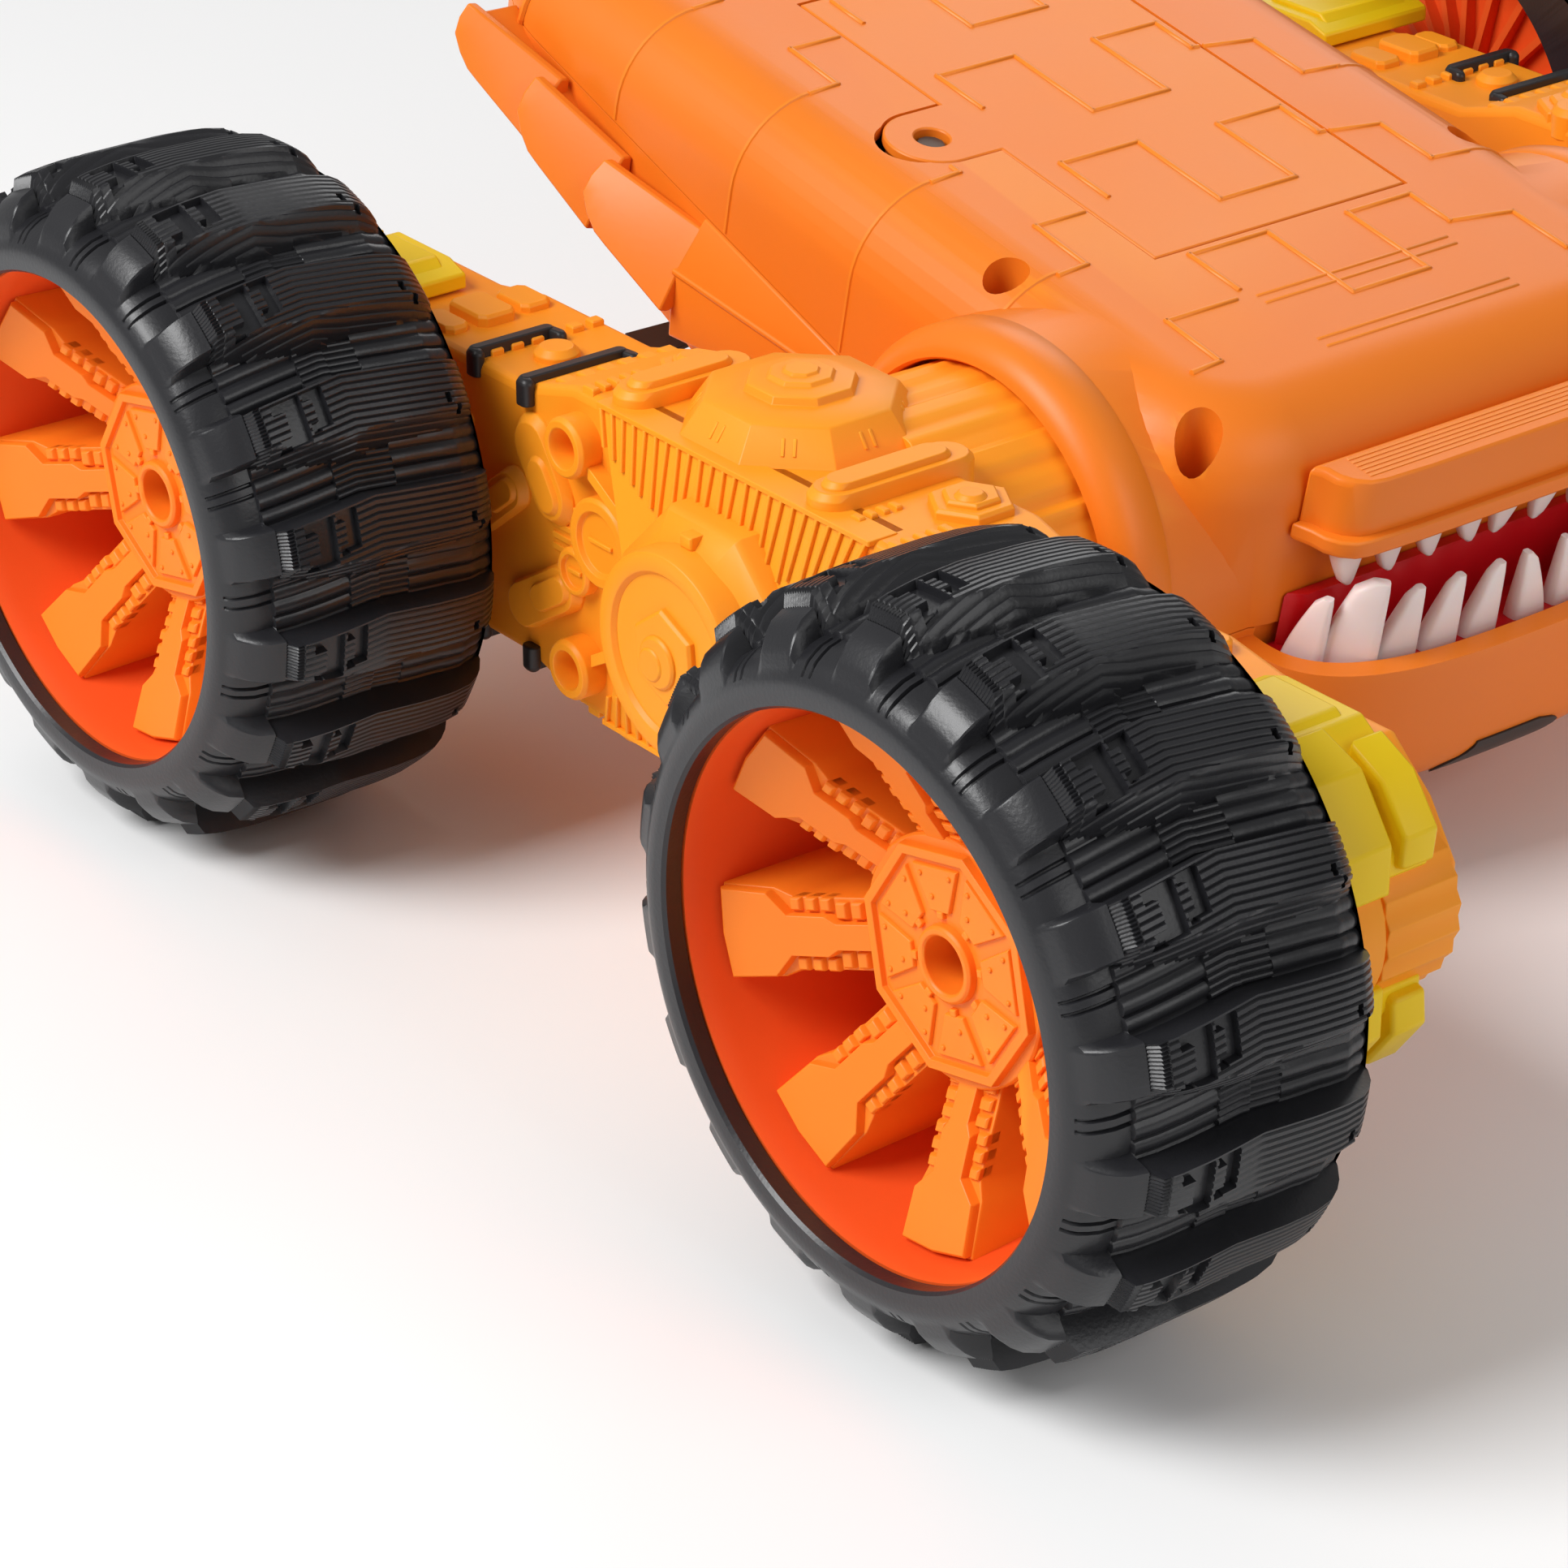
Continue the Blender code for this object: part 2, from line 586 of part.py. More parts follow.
def make_antenna():
    """Aerial wire from the circuit board, lying in a bend along the back of the shell."""
    path = [(-0.022 + 0.0055 * i, 0.1040 + 0.024 * math.sin(math.radians(22.5 * i)) + 0.0035 * i)
            for i in range(9)]
    rings, radius, level = [], 0.0007, 0.0058
    for i, (x, y) in enumerate(path):
        before, after = path[max(i - 1, 0)], path[min(i + 1, len(path) - 1)]
        side = Vector((before[1] - after[1], after[0] - before[0])).normalized()
        rings.append([(x + side.x * radius * math.cos(a), y + side.y * radius * math.cos(a),
                       level + radius * math.sin(a))
                      for a in (math.radians(60 * k) for k in range(6))])
    loft("antenna_wire", rings, finish="stripe_black", frame=BODY_FRAME)


def make_electrics():
    board = block("circuit_board", (-0.026, 0.032, 0.0050), (0.026, 0.098, 0.0066),
                  finish="board_green", frame=BODY_FRAME)
    join(board, blocks("board_parts", [((-0.020, 0.040, 0.006), (-0.008, 0.052, 0.0090)),
                                       ((0.004, 0.044, 0.006), (0.018, 0.054, 0.0084)),
                                       ((-0.016, 0.070, 0.006), (0.002, 0.076, 0.0098)),
                                       ((0.010, 0.078, 0.006), (0.020, 0.090, 0.0094))],
                       frame=BODY_FRAME))
    make_antenna()
    centre = -SWITCH_TRAVEL / 2
    origin = BODY_FRAME @ Vector((centre, SWITCH_Y, BELLY))
    knob = block("power_switch", (centre - 0.0022, SWITCH_Y - 0.0026, 0.0360),
                 (centre + 0.0022, SWITCH_Y + 0.0026, BELLY + 0.0012), finish="stripe_black",
                 frame=BODY_FRAME, origin=origin)
    join(knob, block("switch_foot", (centre - 0.0085, SWITCH_Y - 0.0045, 0.0352),
                     (centre + 0.0085, SWITCH_Y + 0.0045, BELLY - SHELL - GAP),
                     frame=BODY_FRAME))


# ---------------------------------------------------------------- arms
def arm_outline(inset):
    """Side view of an arm: long bar with a tapered paw at each end."""
    top, paw = ARM_HALF_HEIGHT - inset, PAW_HALF_HEIGHT - inset
    reach = ARM_REACH - inset
    quarter = [(0.0, top), (0.092, top), (0.106, paw), (0.128, paw),
               (reach - 0.006, paw - 0.0075), (reach, paw - 0.0165)]
    right = quarter + [(y, -z) for y, z in reversed(quarter)]
    return right + [(-y, z) for y, z in reversed(right[1:-1])]


def arm_body(name, side, keep_outer):
    """One half of the hollow arm, on the outer or the inner side of the split."""
    frame = across(side, 0, AXLE_HEIGHT)
    tag = lambda piece: f"{name}_{piece}"
    body = prism(name, arm_outline(0), ARM_IN, ARM_OUT, finish="arm_orange", frame=frame,
                 origin=PIVOT)
    waist = [(-0.040, -0.025), (-0.030, -0.0265), (0.030, -0.0265), (0.040, -0.025),
             (0.040, 0.025), (0.030, 0.0265), (-0.030, 0.0265), (-0.040, 0.025)]
    join(body, prism(tag("waist"), waist, ARM_OUT - 0.004, 0.1412, frame=frame),
         spindle(tag("disc"), [(0.134, 0.019), (0.1445, 0.019), (0.146, 0.0175)], 24,
                 frame=frame))
    for up in (-1, 1):
        dome_frame = Matrix.Translation((side * 0.120, 0, AXLE_HEIGHT)) @ Matrix.Diagonal(
            (1, 1, up, 1))
        join(body, spindle(tag(f"dome_{up}"), [(0.0252, 0.0215), (0.0360, 0.0170),
                                               (0.0405, 0.0095), (0.0433, 0.0060)], 8,
                           phase=math.radians(22.5), frame=dome_frame))
    inside = prism(tag("hollow"), arm_outline(ARM_WALL), ARM_IN + 0.0022, ARM_OUT - ARM_WALL,
                   frame=frame)
    cut(body, inside)
    reach = 0.2
    if keep_outer:
        away = block(tag("inner_side"), (-reach, -reach, 0), (reach, reach, ARM_SPLIT + GAP / 2),
                     frame=frame)
    else:
        away = block(tag("outer_side"), (-reach, -reach, ARM_SPLIT - GAP / 2),
                     (reach, reach, reach), frame=frame)
    return cut(body, away)


def cut_inserts(shell, side):
    """Slots through the arm wall for the stripe bars and the claw webs."""
    frame = across(side, 0, AXLE_HEIGHT)
    slots = []
    for end in ENDS.values():
        for middle in STRIPE_Y:
            half = STRIPE_WIDTH / 2 + GAP
            slots.append(((end * middle - half, 0.0200, 0.107 - GAP),
                          (end * middle + half, 0.0300, 0.133 + GAP)))
        slots.append(((end * 0.1345 - 0.0023, -0.030, 0.1167), (end * 0.1345 + 0.0023, 0.030,
                                                               0.1203)))
    return cut(shell, blocks(f"{shell.name}_slots", slots, frame=frame))


def make_arm(name, side):
    frame = across(side, 0, AXLE_HEIGHT)
    outer = arm_body(f"{name}_arm_cover", side, keep_outer=True)
    for end, sign in ENDS.items():
        cut(outer, spindle(f"{name}_{end}_axle_hole",
                           [(0.120, SHAFT_R + GAP), (0.150, SHAFT_R + GAP)], 24,
                           centre=(sign * HALF_BASE, 0), frame=frame))
    cut_inserts(outer, side)
    inner = arm_body(f"{name}_arm_frame", side, keep_outer=False)
    neck = [(ARM_IN + 0.0008, NECK_R), (NECK_END, NECK_R), (NECK_END, PIVOT_TUBE_R),
            (0.0575, PIVOT_TUBE_R), (0.0575, PIVOT_BORE_R), (NECK_END + 0.0022, PIVOT_BORE_R),
            (NECK_END + 0.0022, NECK_R - 0.0026), (ARM_IN + 0.0008, NECK_R - 0.0026)]
    join(inner, turned_ring(f"{name}_neck", neck, 30, frame=frame))
    cut(inner, spindle(f"{name}_wire_hole", [(0.095, PIVOT_BORE_R), (0.110, PIVOT_BORE_R)], 24,
                       frame=frame))
    cut_inserts(inner, side)
    turned_ring(f"{name}_pivot_clip", [(0.0606, PIVOT_TUBE_R + GAP), (0.0606, 0.0168),
                                       (0.0631, 0.0168), (0.0631, PIVOT_TUBE_R + GAP)], 24,
                finish="steel", frame=frame, origin=PIVOT)
    for end, sign in ENDS.items():
        make_claws(f"{name}_{end}_claws", frame, sign)
        make_stripes(f"{name}_{end}_stripes", frame, sign)
        make_motor(f"{name}_{end}_motor", frame, sign)


def make_claws(name, frame, end):
    """Upper and lower claw of one paw, joined by a web inside the arm."""
    upper = [(0.1070, 0.0272), (0.1120, 0.0298), (0.1300, 0.0298), (0.1410, 0.0225),
             (0.1475, 0.0130), (0.1475, 0.0085), (0.1438, 0.0085), (0.1378, 0.0168),
             (0.1284, PAW_HALF_HEIGHT + GAP), (0.1070, PAW_HALF_HEIGHT + 2 * GAP)]
    upper = [(end * y, z) for y, z in upper]
    lower = [(y, -z) for y, z in upper]
    claws = prism(name, upper, CLAW_IN, CLAW_OUT, finish="claw_yellow", frame=frame,
                  origin=PIVOT)
    web = [(end * 0.1345 - 0.0020, -0.0245), (end * 0.1345 + 0.0020, -0.0215),
           (end * 0.1345 + 0.0020, 0.0215), (end * 0.1345 - 0.0020, 0.0245)]
    join(claws, prism(f"{name}_web", web, 0.1170, 0.1200, frame=frame),
         prism(f"{name}_lower", lower, CLAW_IN, CLAW_OUT, frame=frame))


def make_stripes(name, frame, end):
    """Two raised bars across the arm's top, joined by a bridge under its wall."""
    first, second = (end * y for y in STRIPE_Y)
    low, high = min(first, second), max(first, second)
    half = STRIPE_WIDTH / 2
    under = ARM_HALF_HEIGHT - ARM_WALL - GAP
    bars = block(name, (low - half, under - 0.0020, 0.107), (low + half, 0.0287, 0.133),
                 finish="stripe_black", frame=frame, origin=PIVOT)
    join(bars, block(f"{name}_second", (high - half, under - 0.0020, 0.107),
                     (high + half, 0.0287, 0.133), frame=frame),
         block(f"{name}_bridge", (low - half + 0.0004, under - 0.0024, 0.1120),
               (high + half - 0.0004, under, 0.1250), frame=frame))


def make_motor(name, frame, end):
    centre = (end * (HALF_BASE - GEAR_MODULE * (GEAR_TEETH + PINION_TEETH) / 2), 0)
    motor = spindle(name, [(MOTOR_IN, 0.0035), (MOTOR_IN + 0.0012, MOTOR_R),
                           (MOTOR_OUT - 0.0012, MOTOR_R), (MOTOR_OUT, 0.0075)], 16,
                    centre=centre, finish="steel", frame=frame, origin=PIVOT)
    cut(motor, spindle(f"{name}_shaft_hole", [(MOTOR_OUT - 0.006, 0.0013),
                                              (MOTOR_OUT + 0.006, 0.0013)], 12, centre=centre,
                       frame=frame))


# ---------------------------------------------------------------- wheels and gears
def gear_outline(teeth, first_angle):
    """Straight-flanked teeth, thinner than the pitch so a pair never binds."""
    pitch_r = GEAR_MODULE * teeth / 2
    tip_r, root_r = pitch_r + 0.62 * GEAR_MODULE, pitch_r - 0.95 * GEAR_MODULE
    step = 2 * math.pi / teeth
    root_half, tip_half = 0.24 * step, 0.10 * step
    points = []
    for i in range(teeth):
        middle = first_angle + i * step
        for radius, offset in ((root_r, -root_half), (tip_r, -tip_half), (tip_r, tip_half),
                               (root_r, root_half)):
            points.append((radius * math.cos(middle + offset),
                           radius * math.sin(middle + offset)))
    return points


def make_drive(name, side, end):
    """Output gear with its shaft, and the motor's pinion in mesh with it."""
    axle = Vector((0, end * HALF_BASE, AXLE_HEIGHT))
    frame = across(side, axle.y, axle.z)
    towards_motor = 0.0 if end < 0 else math.pi
    gear = prism(f"{name}_drive_gear",
                 gear_outline(GEAR_TEETH, towards_motor + math.pi / GEAR_TEETH),
                 GEAR_IN, GEAR_OUT, finish="gear_white", frame=frame, origin=axle)
    join(gear, spindle(f"{name}_shaft", [(0.1027, SHAFT_R), (SHAFT_TIP, SHAFT_R)], 24,
                       frame=frame))
    cut(gear, spindle(f"{name}_shaft_bore", [(SHAFT_TIP - 0.0105, 0.0012),
                                             (SHAFT_TIP + 0.010, 0.0012)], 12, frame=frame))
    spread = GEAR_MODULE * (GEAR_TEETH + PINION_TEETH) / 2
    motor = Vector((0, end * (HALF_BASE - spread), AXLE_HEIGHT))
    motor_frame = across(side, motor.y, motor.z)
    pinion = prism(f"{name}_pinion", gear_outline(PINION_TEETH, towards_motor + math.pi),
                   GEAR_IN - 0.0003, GEAR_OUT - 0.0002, finish="gear_white",
                   frame=motor_frame, origin=motor)
    join(pinion, spindle(f"{name}_pinion_shaft", [(MOTOR_OUT - 0.005, 0.0010),
                                                  (GEAR_IN + 0.001, 0.0010)], 12,
                         frame=motor_frame))


def tyre_profile():
    """Closed loop round the tyre's section: depth, radius, groove depth and lug bend."""
    flat = AXLE_HEIGHT / math.cos(LUG_HALF_ANGLE)
    bend = math.radians(4)
    return [(0.0000, LIP_R, 0, -bend), (0.0000, 0.0487, 0, -bend),
            (0.0064, 0.0572, 0.0022, -bend), (0.0215, flat, 0.0030, 0),
            (0.0370, flat, 0.0030, 0), (0.0475, 0.0600, 0.0026, -bend),
            (TYRE_WIDTH, 0.0554, 0.0012, -bend), (TYRE_WIDTH, 0.0425, 0, -bend),
            (RIM_BACK + GAP, RIM_R + GAP, 0, -bend), (BEAD_BACK, TYRE_CAVITY_R, 0, -bend),
            (BEAD_FRONT, TYRE_CAVITY_R, 0, -bend), (RIM_FRONT - GAP, RIM_R + GAP, 0, -bend),
            (RIM_FRONT - GAP, LIP_R, 0, -bend)]


def make_tyre(name, frame, origin):
    """Chunky tyre: every lug is a pair of high columns with a groove after it."""
    profile = tyre_profile()
    count = len(profile)
    step = 2 * math.pi / LUGS
    columns_per_lug = ((-LUG_HALF_ANGLE, 0), (LUG_HALF_ANGLE, 0), (step / 2, 1))
    verts, faces = [], []
    for lug in range(LUGS):
        for offset, groove in columns_per_lug:
            middle = lug * step - math.pi / 2
            for depth, radius, sink, bend in profile:
                angle, r = middle + offset + bend, radius - groove * sink
                verts.append((r * math.cos(angle), r * math.sin(angle), HALF_WIDTH - depth))
    total = LUGS * len(columns_per_lug)
    for i in range(total):
        near, far = i * count, (i + 1) % total * count
        for k in range(count):
            n = (k + 1) % count
            faces.append((near + k, near + n, far + n, far + k))
    return solid(name, verts, faces, finish="tyre_black", frame=frame, origin=origin)


def make_rim(name, frame, origin):
    """Deep dished rim: barrel, web, hub with a stepped bore, and raised spokes."""
    loop = [(RIM_FRONT, RIM_R), (RIM_BACK, RIM_R), (RIM_BACK, 0.0415), (0.0400, 0.0430),
            (0.0375, 0.0090), (0.0520, 0.0085), (0.0520, SHAFT_R + GAP),
            (0.0300, SHAFT_R + GAP), (0.0300, 0.0045), (0.0187, 0.0045), (0.0187, 0.0185),
            (0.0235, 0.0185), (0.0335, 0.0120), (0.0370, 0.0432), (RIM_FRONT, 0.0442)]
    profile = [(HALF_WIDTH - depth, radius) for depth, radius in loop]
    rim = turned_ring(name, profile, 24, finish="rim_orange", frame=frame, origin=origin)
    verts, faces = [], []
    for i in range(SPOKES):
        angle = SPOKE_PHASE + 2 * math.pi * i / SPOKES
        out = Vector((math.cos(angle), math.sin(angle)))
        along = Vector((-out.y, out.x))
        start = len(verts)
        for reach, half, front in SPOKE_ENDS:
            for sideways, depth in ((-1, front), (1, front), (1, SPOKE_BACK), (-1, SPOKE_BACK)):
                spot = out * reach + along * sideways * half
                verts.append((spot.x, spot.y, HALF_WIDTH - depth))
        faces += [(start, start + 1, start + 2, start + 3),
                  (start + 4, start + 5, start + 6, start + 7)]
        faces += [(start + k, start + (k + 1) % 4, start + 4 + (k + 1) % 4, start + 4 + k)
                  for k in range(4)]
    return join(rim, solid(f"{name}_spokes", verts, faces, frame=frame))


def make_wheel(name, side, end):
    axle = Vector((0, end * HALF_BASE, AXLE_HEIGHT))
    frame = across(side, axle.y, axle.z)
    make_tyre(f"{name}_tyre", frame, axle)
    make_rim(f"{name}_rim", frame, axle)
    spindle(f"{name}_wheel_screw", [(SHAFT_TIP - 0.0095, 0.0009), (0.1633, 0.0009),
                                    (0.1633, 0.0040), (0.1655, 0.0034)], 12,
            finish="steel", frame=frame, origin=axle)
    make_drive(name, side, end)


def build():
    make_belly_shell()
    make_back_shell()
    make_collars()
    make_shell_screws()
    make_lower_jaw()
    make_teeth()
    make_battery_door()
    make_battery_bay()
    make_electrics()
    for name, side in SIDES.items():
        make_arm(name, side)
        for end, sign in ENDS.items():
            make_wheel(f"{name}_{end}", side, sign)


build()
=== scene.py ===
"""Looks of the belly-up stunt car: detailed shells, wheels, arms and jaws on the CAD frame."""
import json
import math

import bmesh
import bpy
from mathutils import Matrix, Vector


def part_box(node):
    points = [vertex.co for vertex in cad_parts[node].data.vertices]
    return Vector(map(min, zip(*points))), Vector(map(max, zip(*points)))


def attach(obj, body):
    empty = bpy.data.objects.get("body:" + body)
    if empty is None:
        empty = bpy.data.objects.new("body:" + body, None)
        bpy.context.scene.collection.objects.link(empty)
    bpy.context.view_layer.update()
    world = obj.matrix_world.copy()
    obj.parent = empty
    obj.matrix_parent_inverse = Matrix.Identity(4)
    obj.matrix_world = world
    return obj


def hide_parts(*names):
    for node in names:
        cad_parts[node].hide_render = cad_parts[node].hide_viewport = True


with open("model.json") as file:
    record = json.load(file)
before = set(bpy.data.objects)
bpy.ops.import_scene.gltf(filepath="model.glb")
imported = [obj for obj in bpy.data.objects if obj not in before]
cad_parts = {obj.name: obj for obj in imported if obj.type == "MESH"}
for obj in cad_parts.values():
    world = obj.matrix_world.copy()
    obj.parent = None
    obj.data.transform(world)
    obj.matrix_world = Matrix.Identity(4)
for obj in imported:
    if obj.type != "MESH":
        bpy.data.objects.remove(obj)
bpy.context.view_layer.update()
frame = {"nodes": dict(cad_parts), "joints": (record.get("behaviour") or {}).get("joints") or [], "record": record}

SIDES = {"right": -1, "left": 1}
ENDS = {"front": -1, "rear": 1}


# ---------------------------------------------------------------- places, from the frame
def find_joint(name):
    return next(j for j in frame["joints"] if j["name"] == name)


def joint_place(name):
    return Vector(find_joint(name)["pos_m"])


AXLE_Z = joint_place("right_arm_pivot").z
HALF_BASE = abs(joint_place("right_front_wheel_spin").y)
LIP_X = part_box("left_front_tyre")[1][0]
TYRE_WIDTH = LIP_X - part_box("left_front_tyre")[0][0]
HINGE = find_joint("battery_door_hinge")
BODY_PITCH = math.atan2(HINGE["axis"][2], HINGE["axis"][1])
BODY_FRAME = Matrix.Translation((0, 0, AXLE_Z)) @ Matrix.Rotation(BODY_PITCH, 4, "X")
DOOR_EDGE = BODY_FRAME.inverted() @ Vector(HINGE["pos_m"])
BELLY = DOOR_EDGE.z   # height of the flat belly in the body's own frame
ARM_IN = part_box("left_front_claws")[0][0] - 0.0025
COLLAR_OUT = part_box("left_collar")[1][0]


def across(side, y=0.0, z=AXLE_Z):
    """Frame with x along Y, y up and z outwards along X on one side."""
    return Matrix(((0, 0, side, 0), (1, 0, 0, y), (0, 1, 0, z), (0, 0, 0, 1)))


def upwards(side, up, z=AXLE_Z):
    """Frame with x outwards along X, y along Y and z up (or down) from the axle height."""
    return Matrix(((side, 0, 0, 0), (0, 1, 0, 0), (0, 0, up, z), (0, 0, 0, 1)))


# ---------------------------------------------------------------- materials
def srgb(red, green, blue):
    """Linear colour of an sRGB one given in 0 to 255."""
    def linear(value):
        value /= 255
        return value / 12.92 if value <= 0.04045 else ((value + 0.055) / 1.055) ** 2.4
    return linear(red), linear(green), linear(blue), 1.0


def node(tree, kind, **settings):
    """New shader node with its sockets or properties set by name."""
    made = tree.nodes.new(kind)
    for key, value in settings.items():
        if key in made.inputs:
            made.inputs[key].default_value = value
        else:
            setattr(made, key, value)
    return made


def colour_socket(sockets, name):
    return next(s for s in sockets if s.name == name and s.type == "RGBA")


def moulded(name, colour, roughness=0.38, edge=0.25, grain=0.06, glow=0.0, metallic=0.0,
            grain_scale=900.0, mottle=0.05, shine=0.42):
    """Moulded finish: slow colour drift, painted highlights that lighten the edges, fine grain and uneven gloss.
    """
    material = bpy.data.materials.new(name)
    material.use_nodes = True
    tree = material.node_tree
    link = tree.links.new
    shader = tree.nodes["Principled BSDF"]
    place = node(tree, "ShaderNodeTexCoord")
    drift = node(tree, "ShaderNodeTexNoise", Scale=28.0, Detail=3.0, Roughness=0.55)
    link(place.outputs["Object"], drift.inputs["Vector"])
    fine = node(tree, "ShaderNodeTexNoise", Scale=grain_scale, Detail=2.0)
    link(place.outputs["Object"], fine.inputs["Vector"])
    darker = tuple(c * (1 - mottle) for c in colour[:3]) + (1.0,)
    lighter = tuple(min(c * (1 + mottle), 1.0) for c in colour[:3]) + (1.0,)
    tint = node(tree, "ShaderNodeMix", data_type="RGBA")
    colour_socket(tint.inputs, "A").default_value = darker
    colour_socket(tint.inputs, "B").default_value = lighter
    link(drift.outputs["Fac"], tint.inputs["Factor"])
    # Painted highlight: edges found by pointiness are screened towards the lighter colour, standing in for light
    # caught on rounded edges; edge sets how strong it is.
    shape = node(tree, "ShaderNodeNewGeometry")
    ramp = node(tree, "ShaderNodeMapRange")
    ramp.inputs["From Min"].default_value = 0.51
    ramp.inputs["From Max"].default_value = 0.60
    ramp.inputs["To Max"].default_value = edge
    link(shape.outputs["Pointiness"], ramp.inputs["Value"])
    rim = node(tree, "ShaderNodeMix", data_type="RGBA", blend_type="SCREEN")
    colour_socket(rim.inputs, "B").default_value = lighter
    link(ramp.outputs["Result"], rim.inputs["Factor"])
    link(colour_socket(tint.outputs, "Result"), colour_socket(rim.inputs, "A"))
    link(colour_socket(rim.outputs, "Result"), shader.inputs["Base Color"])
    gloss = node(tree, "ShaderNodeMapRange")
    gloss.inputs["To Min"].default_value = roughness - 0.05
    gloss.inputs["To Max"].default_value = roughness + 0.07
    link(drift.outputs["Fac"], gloss.inputs["Value"])
    link(gloss.outputs["Result"], shader.inputs["Roughness"])
    bump = node(tree, "ShaderNodeBump", Strength=grain, Distance=0.0002)
    link(fine.outputs["Fac"], bump.inputs["Height"])
    link(bump.outputs["Normal"], shader.inputs["Normal"])
    shader.inputs["Metallic"].default_value = metallic
    shader.inputs["Specular IOR Level"].default_value = shine
    shader.inputs["Subsurface Weight"].default_value = glow
    shader.inputs["Subsurface Radius"].default_value = (0.003, 0.0008, 0.0003)
    shader.inputs["Subsurface Scale"].default_value = 1.0
    material.diffuse_color = colour
    return material


# The edge value of each finish sets the strength of its painted edge highlight.
MATERIALS = {
    "body_orange": moulded("body_orange", srgb(238, 124, 30), 0.38, glow=0.05, shine=0.34),
    "arm_orange": moulded("arm_orange", srgb(254, 150, 30), 0.42, glow=0.06, edge=0.3,
                          shine=0.30),
    "rim_orange": moulded("rim_orange", srgb(250, 128, 30), 0.40, glow=0.06, edge=0.35,
                          shine=0.32),
    # Painted shade: a darker red copy of the rim orange for the barrel, standing in for the shade deep inside the
    # wheel.
    "rim_orange_painted_shade": moulded("rim_orange_painted_shade", srgb(232, 84, 30), 0.40, glow=0.05, shine=0.30),
    "claw_yellow": moulded("claw_yellow", srgb(236, 192, 12), 0.40, glow=0.05, edge=0.3,
                           shine=0.32),
    "tyre_black": moulded("tyre_black", srgb(32, 32, 35), 0.32, edge=0.35, grain=0.18,
                          grain_scale=1400.0, mottle=0.12, shine=0.50),
    "stripe_black": moulded("stripe_black", srgb(34, 31, 31), 0.40, edge=0.4),
    "tooth_white": moulded("tooth_white", srgb(238, 228, 226), 0.34, glow=0.20, edge=0.1),
    "gum_red": moulded("gum_red", srgb(196, 14, 24), 0.32, glow=0.08),
    "board_green": moulded("board_green", srgb(30, 95, 55), 0.50, mottle=0.2),
    "cell_blue": moulded("cell_blue", srgb(40, 70, 130), 0.35, grain=0.15, grain_scale=300.0),
    "gear_white": moulded("gear_white", srgb(225, 225, 215), 0.42, glow=0.1),
    "screw_steel": moulded("screw_steel", srgb(96, 84, 76), 0.5, metallic=0.7, grain=0.3,
                           grain_scale=600.0),
    "steel": moulded("steel", srgb(182, 182, 184), 0.30, metallic=1.0, grain=0.2,
                     grain_scale=600.0),
}


# ---------------------------------------------------------------- mesh helpers
def shade(bm, data, sharp):
    """Writes a bmesh to its mesh, smooth but for edges above an angle in degrees."""
    for face in bm.faces:
        face.smooth = True
    for edge in bm.edges:
        edge.smooth = edge.calc_face_angle(0.0) < math.radians(sharp)
    bm.to_mesh(data)
    bm.free()
    return data


class Shape:
    """Collects closed forms into one mesh."""

    def __init__(self):
        self.verts, self.faces = [], []

    def add(self, verts, faces, place=None):
        base = len(self.verts)
        self.verts += [tuple(place @ Vector(v)) if place else tuple(v) for v in verts]
        self.faces += [tuple(base + i for i in face) for face in faces]
        return self

    def loft(self, rings, place=None, capped=True):
        """Skin over rings of equal length, closed at both ends if capped."""
        count = len(rings[0])
        verts = [p for ring in rings for p in ring]
        faces = [tuple(range(count)), tuple(range(len(verts) - count, len(verts)))] if capped else []
        for level in range(len(rings) - 1):
            for i in range(count):
                j, base = (i + 1) % count, level * count
                faces.append((base + i, base + j, base + count + j, base + count + i))
        return self.add(verts, faces, place)

    def slab(self, outline, low, high, place=None, chamfer=0.0, draft=0.0):
        """Flat outline raised from low to high, with a chamfered top edge."""
        cx = sum(p[0] for p in outline) / len(outline)
        cy = sum(p[1] for p in outline) / len(outline)
        reach = max(math.hypot(p[0] - cx, p[1] - cy) for p in outline)

        def ring(z, shrink):
            k = 1 - shrink / reach
            return [(cx + (x - cx) * k, cy + (y - cy) * k, z) for x, y in outline]
        rings = [ring(low, 0.0)]
        if chamfer:
            step = chamfer if high > low else -chamfer
            rings.append(ring(high - step, draft))
        rings.append(ring(high, draft + chamfer))
        return self.loft(rings, place)

    def lathe(self, profile, steps, place=None, closed=True, start=0.0):
        """Turns (height, radius) points about z; closed profiles make a ring."""
        count = len(profile)
        verts, faces = [], []
        for i in range(steps):
            angle = start + 2 * math.pi * i / steps
            verts += [(r * math.cos(angle), r * math.sin(angle), h) for h, r in profile]
        for i in range(steps):
            near, far = i * count, (i + 1) % steps * count
            for k in range(count if closed else count - 1):
                n = (k + 1) % count
                faces.append((near + k, near + n, far + n, far + k))
        if not closed:
            faces += [tuple(i * count for i in range(steps)),
                      tuple(i * count + count - 1 for i in range(steps))]
        return self.add(verts, faces, place)

    def mesh(self, name, sharp=32):
        """Smooth shaded mesh whose edges stay sharp above an angle in degrees."""
        data = bpy.data.meshes.new(name)
        data.from_pydata(self.verts, [], self.faces)
        bm = bmesh.new()
        bm.from_mesh(data)
        bmesh.ops.recalc_face_normals(bm, faces=bm.faces)
        return shade(bm, data, sharp)

    def piece(self, name, body, material, bevel=0.0, sharp=32):
        thing = bpy.data.objects.new(name, self.mesh(name, sharp))
        return settle(thing, body, material, bevel)


